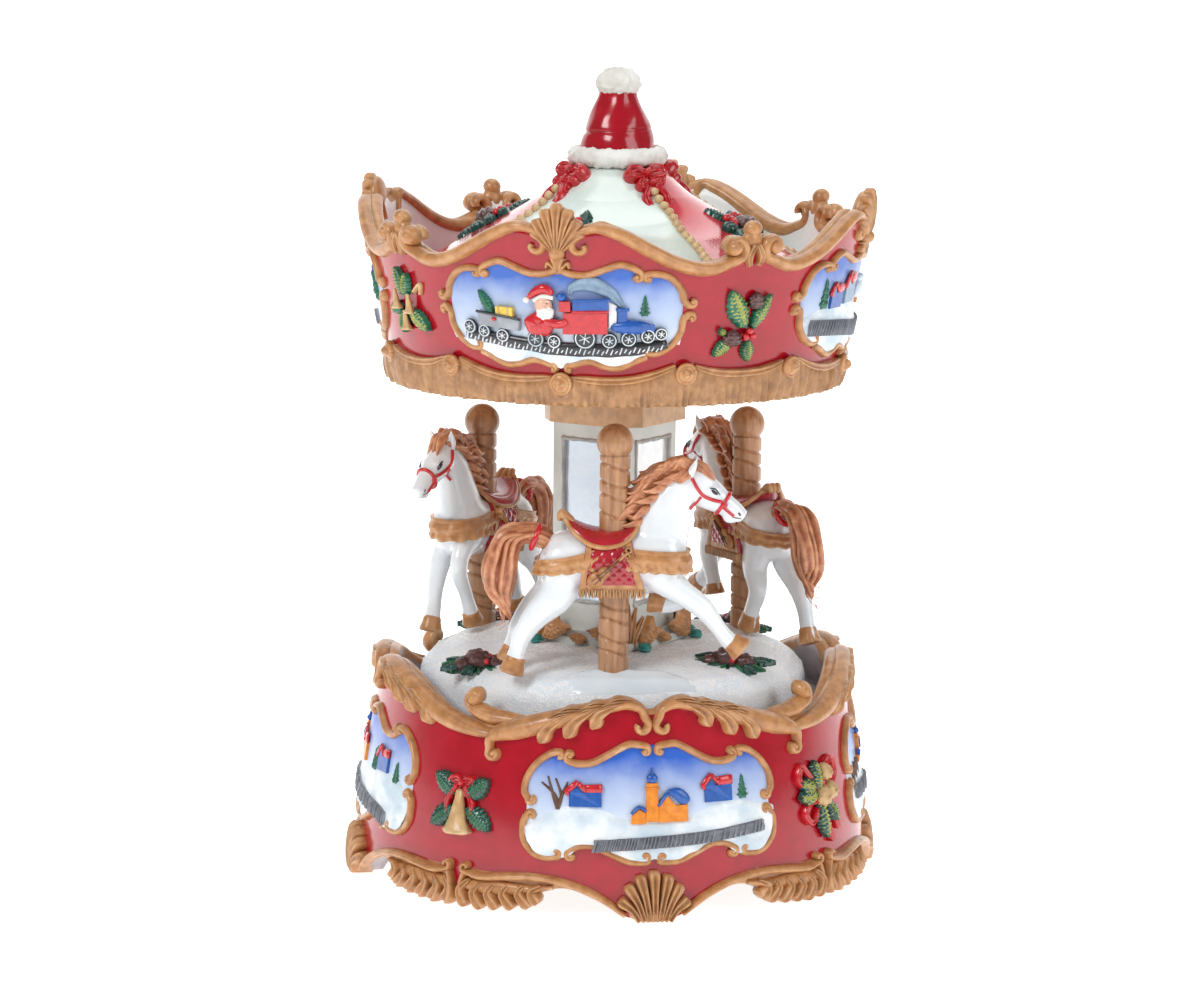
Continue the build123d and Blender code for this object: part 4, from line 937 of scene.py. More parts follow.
trim.points = [(x, y, max(z, 0.0)) for x, y, z in trim.points]
trim.done("base")
sky_panels.done("base")
decor.done("base")


# ---------------------------------------------------------------- roof valance
valance_top = eased([(0, 141.5), (3, 140.0), (6, 140.2), (9.5, 140.6), (15, 139.0), (20, 136.6),
                     (26, 134.0), (31, 132.6), (35, 132.6), (38.5, 134.4), (42, 137.0), (45, 138.4)])
swag_line = eased([(0, 110.2), (3, 110.4), (8, 109.8), (14.5, 109.8), (22, 110.9), (27, 112.2),
                   (30, 112.6), (33, 112.0), (38, 111.2), (45, 110.8)])
VALANCE_BOTTOM, FRINGE_BOTTOM = 104.6, 104.4
ROOF_FLOOR, VALANCE_THICKNESS, SHAFT_HOLE, CREST_FOOT = 107.0, 2.8, 4.0, 136.8


def valance_paint(point):
    _, away = quarter(azimuth_of(point), ROOF_YAW)
    reach = hypot(point[0], point[1])
    if reach > roof_radius(point[2]) - 0.4:
        if point[2] > valance_top(abs(away)) - 0.3:
            return "gold"
        return "red" if point[2] > swag_line(abs(away)) else "pole"
    if point[2] > valance_top(abs(away)) - 0.9:
        return "gold"
    return "inner_white" if point[2] > ROOF_FLOOR - 0.6 else "pole"


valance = Piece("roof_valance_wall")
columns = []
for i in range(COLUMN_COUNT):
    azimuth = 360.0 * i / COLUMN_COUNT
    _, away = quarter(azimuth, ROOF_YAW)
    rim = valance_top(abs(away))
    profile = [(roof_radius(z), z) for z in np.linspace(VALANCE_BOTTOM, rim, 30)]
    top = roof_radius(rim)
    profile += [(top - 0.4, rim + 0.6), (top - 1.2, rim + 0.9), (top - 2.0, rim + 0.6)]
    profile += [(roof_radius(z) - VALANCE_THICKNESS, z) for z in np.linspace(rim - 0.2, ROOF_FLOOR, 16)]
    profile += [(DECK_EDGE, ROOF_FLOOR), (SHAFT_HOLE, ROOF_FLOOR), (SHAFT_HOLE, VALANCE_BOTTOM),
                (24.0, VALANCE_BOTTOM), (43.0, VALANCE_BOTTOM)]
    columns.append([round_z(r, azimuth, z) for r, z in profile])
columns.append(columns[0])
valance.grid(columns, valance_paint, closed=True)
valance.done("carousel", "roof_valance")

crown = Piece("roof_trim")
roof_scenes = Piece("roof_scenes")
roof_decor = Piece("roof_ornaments")
roof_frame_high = eased([(0, 132.4), (3, 132.2), (6, 132.0), (10, 132.9), (13.6, 133.6), (17.5, 132.6),
                         (21, 131.6), (24.5, 131.0), (27, 128.6), (28.6, 126.0), (29.0, 125.0)])
roof_frame_low = eased([(0, 112.4), (3, 113.2), (7, 114.0), (10.5, 113.4), (14, 113.1), (17.5, 114.2),
                        (20.5, 115.4), (23.5, 115.9), (26, 117.6), (28.4, 121.6), (29.0, 123.6)])

# fringe of uneven strands under the swags
STRAND_COUNT = 170
fringe = Piece("roof_fringe")
columns = []
for i in range(STRAND_COUNT * 3):
    azimuth = 360.0 * i / (STRAND_COUNT * 3)
    _, away = quarter(azimuth, ROOF_YAW)
    top = swag_line(abs(away)) + 0.2
    sway = 1.1 * sin(radians(azimuth) * 31) + 0.7 * sin(radians(azimuth) * 13 + 1.0)
    ridge = (0.0, 1.0, 0.55)[i % 3] * (0.7 + 0.5 * random.random())
    end = FRINGE_BOTTOM + 0.25 * abs(sin(radians(azimuth) * 23)) + 0.2 * random.random()
    row = []
    for j in range(9):
        t = j / 8
        z = top + (end - top) * t
        swell = 0.35 + 0.85 * sin(pi * min(1.0, 0.15 + 0.75 * t))
        row.append(round_z(roof_radius(z) + swell + ridge * (0.4 + 0.6 * t), azimuth + sway * t * 0.55, z))
    row.append(round_z(roof_radius(end) - 0.8, azimuth + sway * 0.55, end - 0.05))
    columns.append(row)
columns.append(columns[0])
fringe.grid(columns, "fringe")
fringe.done("carousel")


def locomotive(at, unit):
    """Relief steam train on its rails with a generic bearded driver in a red hat."""
    p = roof_scenes
    crest = eased([(-30, 117.0), (-18, 118.5), (0, 117.6), (16, 118.6), (30, 117.2)])
    snow_hills(p, at, roof_frame_low, crest, ROOF_SNOW_EDGE, unit, 0.7)
    stroke(p, round_wall(unit, [(-24, 118.6, 1.2, 0.8), (-14, 117.6, 1.4, 0.9), (0, 116.4, 1.5, 0.9),
                                (14, 116.4, 1.5, 0.9), (25, 117.4, 1.2, 0.8)]), "black", at, base=0.4)
    for i in range(46):
        u = -23.5 + i * 1.05
        z = 116.3 + 2.3 * ((u - 6) / 30) ** 2
        stroke(p, round_wall(unit, [(u - 0.3, z - 0.9 + 0.3 * (i % 2), 0.14, 0.3),
                                    (u + 0.25, z + 0.5 - 0.3 * (i % 3), 0.14, 0.3)]), "scene_snow", at,
               base=1.15, steps=2)
    wheels = [(-22.5, 120.1, 1.6), (-18.6, 119.4, 1.4), (-13.8, 118.7, 1.5), (-5.6, 118.4, 1.9),
              (-1.2, 118.0, 1.5), (6.0, 118.8, 2.4), (11.6, 118.4, 1.7), (16.0, 118.8, 1.7),
              (20.4, 119.4, 1.6), (23.4, 119.8, 1.4)]
    for u, z, r in wheels:
        dome(p, (u * unit, z, 1.0), (r, r, 0.7), "black", at, 6, 20)
        ring = circle(u * unit, z, 0.78 * r, 0.13, 0.25, range(-30, 331, 30))
        stroke(p, ring, "scene_snow", at, base=1.45, steps=2)
        for a in (20, 80, 140):
            reach = 0.5 * r
            stroke(p, [(u * unit - reach * cos(radians(a)), z - reach * sin(radians(a)), 0.1, 0.2),
                       (u * unit + reach * cos(radians(a)), z + reach * sin(radians(a)), 0.1, 0.2)],
                   "scene_snow", at, base=1.6, steps=2)
    # tender with a tree and a present
    block(p, round_wall(unit, [(-19.6, 120.6), (-9.6, 119.8), (-9.2, 122.2), (-12, 122.6),
                               (-19.8, 123.6)]), 1.7, "rail_grey", at)
    stroke(p, round_wall(unit, [(-20.0, 123.4, 0.3, 0.4), (-14, 122.8, 0.3, 0.4),
                                (-9.0, 122.2, 0.3, 0.4)]), "black", at, base=1.6)
    leaf(p, (-16.2 * unit, 122.6), (-19.4 * unit, 127.8), 1.25, "green", at, teeth=8, depth=0.25,
         lift=1.4, base=0.4)
    block(p, round_wall(unit, [(-15.2, 122.6), (-10.8, 122.5), (-10.9, 124.6), (-15.1, 124.7)]), 1.6,
          "yellow", at)
    for u in (-14.2, -12.0):
        stroke(p, round_wall(unit, [(u, 122.7, 0.2, 0.3), (u, 124.6, 0.2, 0.3)]), "pale_gold", at,
               base=1.5, steps=2)
    dome(p, (-15.6 * unit, 122.0, 1.6), (0.6, 0.4, 0.5), "bright_red", at, 5, 10)
    # driver: body, arm, beard, face, hat
    dome(p, (-4.6 * unit, 121.4, 0.9), (3.2, 2.6, 1.5), "bright_red", at, 9, 20,
         lambda theta, phi: 1 + 0.05 * sin(5 * theta))
    stroke(p, round_wall(unit, [(-3.0, 122.2, 0.9, 0.9), (0.2, 121.6, 0.9, 0.9), (2.0, 122.4, 0.7, 0.8)]),
           "bright_red", at, base=1.6)
    dome(p, (-3.3 * unit, 125.5, 1.4), (1.75, 1.9, 1.5), "skin", at, 10, 20)
    dome(p, (-2.9 * unit, 124.0, 1.6), (1.75, 1.7, 1.35), "fur", at, 10, 20,
         lambda theta, phi: 1 + 0.07 * sin(7 * theta + 3 * phi))
    dome(p, (-2.7 * unit, 125.2, 2.7), (0.42, 0.36, 0.4), "skin", at, 6, 10)
    for side in (-1, 1):
        stroke(p, [(-2.7 * unit, 124.75, 0.26, 0.3), (-2.7 * unit + side * 1.0, 124.5, 0.16, 0.25)],
               "fur", at, base=2.7, steps=3)
        dome(p, (-2.8 * unit + side * 0.62, 125.9, 2.68), (0.15, 0.15, 0.12), "black", at, 5, 8)
        stroke(p, [(-2.8 * unit + side * 0.30, 126.35, 0.12, 0.2),
                   (-2.8 * unit + side * 0.95, 126.3, 0.1, 0.2)], "fur", at, base=2.6, steps=2)
    stroke(p, round_wall(unit, [(-5.4, 126.3, 0.42, 0.5), (-3.2, 127.3, 0.48, 0.6),
                                (-0.9, 127.0, 0.42, 0.5)]), "fur", at, base=1.9)
    stroke(p, round_wall(unit, [(-1.2, 127.7, 0.7, 1.0), (-3.0, 128.7, 1.1, 1.2), (-5.2, 128.0, 0.9, 1.0),
                                (-6.6, 126.9, 0.5, 0.8)]), "bright_red", at, base=1.2)
    dome(p, (-7.2 * unit, 126.4, 1.6), (0.7, 0.7, 0.7), "fur", at)
    # cab, boiler, chimney and smoke
    for outline in ([(1.0, 119.6), (11.2, 119.8), (11.2, 124.2), (1.2, 124.0)],
                    [(0.2, 124.2), (3.0, 124.2), (3.0, 126.4), (0.4, 126.4)]):
        block(p, round_wall(unit, outline), 1.9, "bright_red", at)
    dome(p, (0.8 * unit, 127.2, 1.2), (1.1, 0.9, 1.0), "blue", at)
    block(p, round_wall(unit, [(3.4, 124.4), (11.4, 124.6), (11.4, 126.7), (3.4, 126.4)]), 2.1, "blue", at)
    stroke(p, round_wall(unit, [(3.2, 126.6, 0.3, 0.4), (11.7, 126.9, 0.3, 0.4)]), "blue", at, base=1.9)
    stroke(p, round_wall(unit, [(3.2, 124.3, 0.28, 0.4), (11.5, 124.5, 0.28, 0.4)]), "bright_red", at,
           base=1.9)
    block(p, round_wall(unit, [(11.4, 121.0), (13.2, 121.2), (13.2, 125.6), (11.4, 126.4)]), 1.2,
          "inner_white", at)
    dome(p, (16.6 * unit, 121.2, 0.9), (4.3, 1.5, 1.4), "blue", at, 9, 22)
    for depth, outline in ((1.7, [(12.4, 120.4), (21.8, 120.4), (21.8, 121.8), (12.4, 122.0)]),
                           (1.5, [(13.4, 122.2), (15.6, 122.2), (15.4, 124.8), (13.5, 124.8)])):
        block(p, round_wall(unit, outline), depth, "blue", at)
    stroke(p, round_wall(unit, [(13.0, 124.9, 0.35, 0.5), (16.0, 124.9, 0.35, 0.5)]), "blue", at,
           base=1.4, steps=2)
    stroke(p, round_wall(unit, [(14.4, 125.4, 0.5, 0.7), (12.0, 128.0, 1.2, 0.9), (7.4, 129.9, 1.6, 1.0),
                                (3.4, 129.2, 1.0, 0.8), (2.6, 127.8, 0.5, 0.6)]), "smoke", at, GROOVED,
           base=0.3)
    fir(p, at, 19.6 * unit, 123.4, 4.4)


def roof_village(at, unit, lean):
    p = roof_scenes
    crest = eased([(-30, 120.0), (-22, 122.6), (-12, 123.6), (-2, 122.2), (8, 121.2), (18, 122.6),
                   (30, 121.0)])
    snow_hills(p, at, roof_frame_low, crest, ROOF_SNOW_EDGE, unit, SNOW_PROUD)
    fir(p, at, -19.5 * unit, 122.6, 6.4)
    house(p, at, -14 * unit, 122.4, 5.0, 5.4, "blue", "bright_red")
    house(p, at, -5.5 * unit, 122.8, 6.0, 6.6, "smoke", "bright_red")
    for height, radii in ((125.0, (1.2, 1.9, 1.0)), (127.4, (0.9, 0.9, 0.9))):
        dome(p, (2.4 * unit, height, 0.8), radii, "scene_snow", at)
    house(p, at, 10 * unit, 121.6, 6.0, 5.6, "orange", "blue")
    fir(p, at, 17.5 * unit, 122.0, 5.6)
    fir(p, at, 22.5 * unit, 121.4, 4.2)
    track(p, at, round_wall(unit, [(-25, 118.4 + lean), (-10, 118.0), (6, 116.6), (20, 117.4 - lean)]),
          1.7, 40)


for scene in range(SIDES):
    quarter_wall = Wall(ROOF_YAW + 90 * scene, roof_radius, ROOF_SCALE)
    unit = ROOF_DEGREE
    scene_panel(roof_scenes, quarter_wall, roof_frame_low, roof_frame_high, ROOF_SCENE_EDGE, unit,
                "roof_sky")
    if scene % 2:
        roof_village(quarter_wall, unit, 0.6 if scene == 1 else -0.4)
    else:
        locomotive(quarter_wall, unit)
    for at in both_sides(quarter_wall):
        for start, body, end in ((None, [(0.5, 132.6), (3.0, 131.8), (6.5, 131.7), (10.4, 132.9),
                                         (13.8, 133.9), (16.6, 133.3)], (17.6, 131.5, 1.1, 60, -250)),
                                 ((20.2, 131.2, 0.75, 120, 250),
                                  [(22.6, 132.0), (25.6, 131.0), (27.9, 128.6), (28.6, 126.6)],
                                  (30.5, 126.2, 1.0, 200, 260)),
                                 ((30.5, 122.9, 1.0, 160, -260),
                                  [(28.7, 122.6), (28.2, 119.8), (26.0, 117.2), (23.2, 115.8)],
                                  (20.9, 116.5, 0.8, -90, -230)),
                                 (None, [(20.4, 115.0), (18.0, 114.2), (14.0, 112.7), (10.4, 113.0),
                                         (7.0, 113.9), (4.0, 113.5)], (2.0, 112.2, 1.0, 60, 240))):
            frame_scroll(crown, at, unit, start, body, end)
        # top rail from the crest to the corner volute
        rail = curl((5.1 * unit, 137.5), 2.1, 110, 270, 0.95, 1.7)[::-1]
        rail += round_wall(unit, [(5.4, 140.6, 1.0, 1.8), (8.6, 141.3, 1.15, 1.9), (12, 140.6, 1.3, 2.0),
                                  (16, 139.0, 1.4, 2.0), (21, 136.5, 1.5, 2.1), (26, 134.3, 1.5, 2.1),
                                  (31, 133.0, 1.5, 2.1), (35, 132.9, 1.45, 2.1), (38.6, 133.9, 1.3, 2.1)])
        rail += curl((39.9 * unit, 137.0), 2.5, -55, 250, 1.2, 2.1)
        stroke(crown, rail, "gold", at, steps=5, base=-0.4)
        dome(crown, (39.7 * unit, 137.0, -0.2), (1.75, 1.75, 2.6), "gold", at, 9, 18)
        inner = [(p[0], p[1], p[2] * 0.95, 1.6) for p in rail]
        stroke(crown, [(u, v, half, -1.5) for u, v, half, _ in inner if u > 6 * unit][:60], "gold", at,
               steps=5, base=-2.2)
        # acanthus fall under the corner volute, and swag rails between the rosettes
        for path in ([(44.6, 137.4, 0.6, 1.5), (43.4, 135.2, 0.8, 1.6), (43.9, 133.2, 0.5, 1.2)],
                     [(2.4, 110.4, 0.35, 1.2), (5, 110.2, 0.75, 1.5), (10, 109.9, 0.9, 1.6),
                      (16, 110.1, 0.9, 1.6), (22, 111.2, 0.8, 1.5), (27.4, 113.0, 0.45, 1.2)],
                     [(32.6, 112.8, 0.45, 1.2), (36, 111.8, 0.8, 1.5), (40, 111.2, 0.9, 1.6),
                      (45.3, 111.0, 0.9, 1.6)]):
            stroke(crown, round_wall(unit, path), "gold", at, GROOVED)
        stroke(crown, round_wall(unit, [(0.9, 133.0, 0.4, 1.1), (2.2, 134.0, 0.45, 1.3),
                                        (2.6, 133.0, 0.3, 1.0)]), "gold", at)
    # crest: a fan of lobes over a ball
    for i in range(-3, 4):
        tip_u = (0.0, 2.3, 4.1, 4.6)[abs(i)] * (1 if i > 0 else -1)
        tip_v = (146.2, 145.0, 142.9, 140.6)[abs(i)]
        lobe = [(i * 0.4, CREST_FOOT, 0.5, 1.7),
                (0.55 * tip_u + 0.15 * i, 0.45 * CREST_FOOT + 0.55 * tip_v, 0.8, 1.9),
                (0.93 * tip_u, CREST_FOOT + 0.9 * (tip_v - CREST_FOOT), 1.25, 1.6),
                (tip_u, tip_v, 0.7, 0.9)]
        stroke(crown, lobe, "gold", quarter_wall, GROOVED)
    for height, out, radii in ((141.2, -1.0, (3.9, 4.4, 1.9)), (141.0, -1.2, (3.9, 4.6, -1.6)),
                               (136.0, 0.8, (1.55, 1.5, 1.9))):
        dome(crown, (0, height, out), radii, "gold", quarter_wall)
    stroke(crown, [(0, 135.0, 1.6, 1.4), (0, 132.8, 0.8, 1.2), (0, 131.8, 0.4, 0.9)], "gold",
           quarter_wall, GROOVED)
    # balls on the corner and the rosettes
    corner_wall = at_corner(ROOF_YAW, roof_radius, ROOF_SCALE, scene)
    for height, radii in ((140.6, (1.9, 1.8, 1.9)), (138.0, (2.4, 2.6, 1.8))):
        dome(crown, (0, height, -1.2), radii, "gold", corner_wall, 9, 16, full=True)
    for away, height, size in ((0, 109.2, 2.35), (30, 111.4, 2.25), (60, 111.4, 2.25)):
        spot = Wall(ROOF_YAW + 90 * scene + away, roof_radius, ROOF_SCALE)
        ring = circle(0, height, 0.86 * size, 0.42, 0.7, range(0, 361, 30))
        dome(crown, (0, height, 0.8), (size, size, 1.5), "gold", spot, 8, 20)
        stroke(crown, ring, "gold", spot, base=1.2, steps=2)
        dome(crown, (0, height, 1.8), (0.5 * size, 0.5 * size, 1.3), "gold", spot, 7, 14,
             lambda theta, phi: 1 + 0.12 * cos(3 * theta))
    # corner ornaments: holly with golden bells, or with pine cones and berries
    if scene % 2:
        for root, tip, half in (((-0.6, 124.8), (-1.9, 130.4), 1.8), ((0.4, 124.6), (1.8, 129.4), 1.4),
                                ((1.6, 121.4), (7.4, 118.0), 2.1), ((-1.6, 120.8), (-2.6, 116.6), 1.6),
                                ((-2.0, 121.8), (-6.2, 121.4), 1.6)):
            leaf(roof_decor, root, tip, half, "green", corner_wall, teeth=5, depth=0.2, lift=1.7,
                 vein="leaf_vein", base=0.3)
        for u, v in ((-3.0, 123.8), (2.0, 123.2), (-0.2, 119.6)):
            bell(roof_decor, (u, v, 1.4), 1.7, "pale_gold", corner_wall)
        stroke(roof_decor, [(3.0, 125.6, 0.4, 0.9), (5.6, 127.4, 0.4, 0.9), (5.2, 125.2, 0.35, 0.8)],
               "pale_gold", corner_wall)
    else:
        for root, tip, half in (((-0.8, 120.6), (-4.6, 128.4), 2.5), ((1.0, 120.2), (4.8, 127.2), 1.7),
                                ((-3.6, 118.2), (-7.4, 114.8), 1.6), ((0.4, 117.8), (0.8, 113.4), 1.7),
                                ((-5.2, 120.0), (-6.6, 119.6), 1.0)):
            leaf(roof_decor, root, tip, half, "green", corner_wall, teeth=6, depth=0.2, lift=1.7,
                 vein="leaf_vein", base=0.3)
        pine_cone(roof_decor, (1.3, 126.0, 0.8), 1.45, "cone", corner_wall)
        pine_cone(roof_decor, (-3.6, 118.4, 1.0), 1.8, "cone", corner_wall, tall=1.0)
        for u, v in ((0.1, 119.8), (0.9, 118.8), (-0.7, 118.6)):
            dome(roof_decor, (u, v, 1.5), (0.75, 0.75, 0.9), "bright_red", corner_wall)

crown.done("carousel")
roof_scenes.done("carousel")
roof_decor.done("carousel")


# ---------------------------------------------------------------- tent, beads, bows and hat
def tilted_frame(origin, right, up):
    """Placing function with its own right and up directions; w stands off the surface."""
    right, up = Vector(right).normalized(), Vector(up).normalized()
    out = right.cross(up)
    start = Vector(origin)
    return lambda u, v, w: tuple(start + right * u + up * v + out * w)


tent_height = eased([(8.0, 149.6), (9.4, 148.8), (14, 144.4), (25, 137.0), (38, 130.4), (46.6, 127.0),
                     (50.5, 125.6)])


def tent_frame(azimuth, radius, spin=0.0):
    """Frame on the tent, its up direction towards the hat."""
    slope = atan2(tent_height(radius - 1) - tent_height(radius + 1), 2.0)
    angle = radians(azimuth)
    right = Vector((cos(angle), sin(angle), 0))
    up = Vector((-sin(angle) * cos(slope), cos(angle) * cos(slope), sin(slope)))
    out = right.cross(up)
    turn = Matrix.Rotation(radians(spin), 3, out)
    return tilted_frame(round_z(radius, azimuth, tent_height(radius)), turn @ right, turn @ up)


def tent_paint(point):
    scene, _ = quarter(azimuth_of(point), ROOF_YAW)
    return "tent_red" if scene % 2 else "mint"


tent = Piece("roof_tent_panels")
TENT_COLUMNS, TENT_EDGE, TENT_HOLE = 144, 46.8, 7.5
rows = []
for radius in np.linspace(TENT_EDGE, TENT_HOLE, 34):
    row = []
    for i in range(TENT_COLUMNS):
        azimuth = ROOF_YAW - 45 + 360.0 * i / TENT_COLUMNS
        _, away = quarter(azimuth, ROOF_YAW)
        rib = 0.7 * exp(-((45 - abs(away)) * radius * 0.0175 / 1.1) ** 2)
        puff = 0.5 * cos(radians(away * 2)) * sin(pi * (radius - 7) / 40)
        row.append(round_z(radius, azimuth, tent_height(radius) + rib + puff))
    rows.append(row)
for radius in (TENT_HOLE, TENT_EDGE):
    rows.append([round_z(radius, ROOF_YAW - 45 + 360.0 * i / TENT_COLUMNS, tent_height(radius) - 1.6)
                 for i in range(TENT_COLUMNS)])
rows.append(rows[0])
tent.grid(rows, tent_paint, closed=True)
tent.done("carousel", "roof_tent")

tent_beads = Piece("roof_beads")
tent_bows = Piece("roof_bows")
tent_sprigs = Piece("roof_sprigs")
for corner in range(SIDES):
    azimuth = ROOF_YAW + 45 + 90 * corner
    reach = 14.2
    while reach < TENT_EDGE - 0.6:
        spot = tent_frame(azimuth, reach)
        dome(tent_beads, (0.25 * sin(3 * reach), 0, 1.0), (0.98, 0.98, 0.98), "bead", spot, 8, 12,
             lambda theta, phi: 1 + 0.04 * sin(3 * theta + 2 * phi), full=True)
        reach += 1.75
    spot = tent_frame(azimuth, 12.4)
    bow(tent_bows, (0, 2.4), 2.5, "bright_red", spot)
    bow(tent_bows, (0.3, 0.0), 1.9, "bright_red", spot, tilt=12)
    for side in (-1, 1):
        stroke(tent_bows, [(side * 0.8, -1.0, 0.6, 1.6), (side * 2.4, -3.4, 0.85, 1.5),
                           (side * 2.2, -5.6, 1.0, 1.1)], "bright_red", spot, GROOVED)
for scene in range(SIDES):
    spot = tent_frame(ROOF_YAW + 90 * scene - 3, 26.5, 12 if scene % 2 else -8)
    for root, tip, half in (((-1.4, 1.0), (-7.4, 3.6), 1.9), ((-0.6, 2.6), (-1.8, 8.6), 1.8),
                            ((1.6, 1.4), (7.0, 4.0), 1.8), ((1.8, -1.6), (7.4, -4.4), 2.0),
                            ((-1.4, -1.8), (-6.8, -5.0), 2.0), ((0.4, -3.0), (0.8, -8.6), 1.9),
                            ((3.0, 0.0), (9.2, -0.4), 1.7), ((-3.0, 0.0), (-9.0, -0.8), 1.7)):
        leaf(tent_sprigs, root, tip, half, "dark_green", spot, teeth=5, depth=0.26, lift=1.8, base=0.3)
    pine_cone(tent_sprigs, (1.4, -0.6, 1.6), 2.5, "cone", spot, tall=1.2)
    pine_cone(tent_sprigs, (-3.2, -1.8, 1.2), 1.9, "cone", spot, tall=1.1)
    for u, v in ((-1.5, 2.6), (-2.6, 2.0), (-1.9, 3.8), (3.6, 2.6), (4.4, 1.6)):
        dome(tent_sprigs, (u, v, 1.7), (0.95, 0.95, 1.1), "bright_red", spot)
tent_beads.done("carousel")
tent_bows.done("carousel")
tent_sprigs.done("carousel")


def lumpy(point, size, scale):
    """Offset from fractal noise, in millimetres."""
    return size * (noise.noise(Vector(point) * scale)
                   + 0.5 * noise.noise(Vector(point) * scale * 2.3 + Vector((7, 1, 3))))


hat = Piece("hat_finial_red")
rows = []
for radius, z in smoothed([(8.2, 150.4), (7.9, 153.0), (7.5, 155.2), (7.05, 156.5), (7.0, 157.2),
                           (6.0, 159.8), (4.9, 162.0), (4.2, 163.6), (3.8, 165.4)], 5):
    row = []
    for i in range(48):
        theta = 2 * pi * i / 48
        crease = -0.22 * exp(-((z - 156.7 - 0.5 * sin(theta + 0.6)) / 0.35) ** 2)
        drape = 0.12 * sin(3 * theta + 0.5 * z) + 0.08 * sin(5 * theta - 0.8 * z)
        row.append(round_z(radius + crease + drape, degrees(theta), z))
    rows.append(row)
hat.grid(rows, "red", closed=True, ends=True)
hat_fur = Piece("hat_fur")
rows = []
FUR_BAND, FUR_THICK, FUR_HEIGHT = 8.5, 1.95, 151.4
for i in range(150):
    azimuth = 360.0 * i / 150
    row = []
    for j in range(22):
        theta = 2 * pi * j / 22
        point = round_z(FUR_BAND + FUR_THICK * cos(theta), azimuth, FUR_HEIGHT + FUR_THICK * sin(theta))
        swell = FUR_THICK + lumpy(point, 0.42, 0.9) + lumpy(point, 0.22, 2.6)
        row.append(round_z(FUR_BAND + swell * cos(theta), azimuth, FUR_HEIGHT + swell * sin(theta)))
    rows.append(row)
rows.append(rows[0])
hat_fur.grid(rows, "fur", closed=True)
POMPOM_RADIUS, POMPOM_HEIGHT, POMPOM_TALL = 4.9, 166.5, 3.5
rows = []
for i in range(49):
    phi = radians(-89 + 178 * i / 48)
    row = []
    for j in range(72):
        theta = 2 * pi * j / 72
        point = (POMPOM_RADIUS * cos(phi) * cos(theta), POMPOM_RADIUS * cos(phi) * sin(theta),
                 POMPOM_TALL * sin(phi))
        swell = 1 + (lumpy(point, 0.40, 0.8) + lumpy(point, 0.30, 1.9) - 0.2) / POMPOM_RADIUS
        row.append((point[0] * swell, point[1] * swell, POMPOM_HEIGHT + point[2] * swell))
    rows.append(row)
hat_fur.grid(rows, "fur", closed=True, ends=True)
hat.done("carousel", "hat_finial")
hat_fur.done("carousel")

# ---------------------------------------------------------------- snowy turntable
snow_height = eased([(0, 48.9), (16, 48.8), (28, 48.4), (33, 47.8), (36, 46.9), (39.6, 44.4),
                     (40.8, 42.0), (41.1, 40.0)])
MOUNDS = [(-23.0, 12.0, 7.0, 1.4), (20.0, 16.0, 6.5, 1.2), (6.0, 30.0, 7.0, 1.3), (-8.0, 29.0, 6.0, 1.0),
          (30.0, -4.0, 6.0, 0.8), (-31.0, -8.0, 5.0, 0.8)]
ICE_SPOT, ICE_HALF = (3.8, -37.0), (13.6, 4.6)


def snow_point(radius, azimuth):
    x, y, _ = round_z(radius, azimuth, 0)
    z = snow_height(radius) + lumpy((x, y, 0), 0.45, 0.12) + lumpy((x, y, 5), 0.10, 0.5)
    for mx, my, wide, tall in MOUNDS:
        z += tall * exp(-((x - mx) ** 2 + (y - my) ** 2) / wide**2)
    ice = ((x - ICE_SPOT[0]) / ICE_HALF[0]) ** 2 + ((y - ICE_SPOT[1]) / ICE_HALF[1]) ** 2
    if ice < 1.6 and radius < 40.5:
        step = 1 / (1 + exp((ice - 1) * 9))
        z += step * 0.75
    return (x, y, z)


def snow_paint(point):
    ice = ((point[0] - ICE_SPOT[0]) / ICE_HALF[0]) ** 2 + ((point[1] - ICE_SPOT[1]) / ICE_HALF[1]) ** 2
    return "ice" if ice < 0.95 and point[2] > 44.0 else "snow"


snowfield = Piece("snow_turntable")
rows = []
for radius in list(np.linspace(1.6, 38.4, 62)) + [39.2, 39.9, 40.4, 40.8, 41.05]:
    rows.append([snow_point(radius, 360.0 * i / 240) for i in range(240)])
for radius, z in ((41.2, 38.4), (41.0, 36.8), (40.2, 36.45), (20.0, 36.45), (1.6, 36.45)):
    rows.append([round_z(radius, 360.0 * i / 240, z) for i in range(240)])
rows.append(rows[0])
snowfield.grid(rows, snow_paint, closed=True)
snowfield.done("carousel", "turntable")

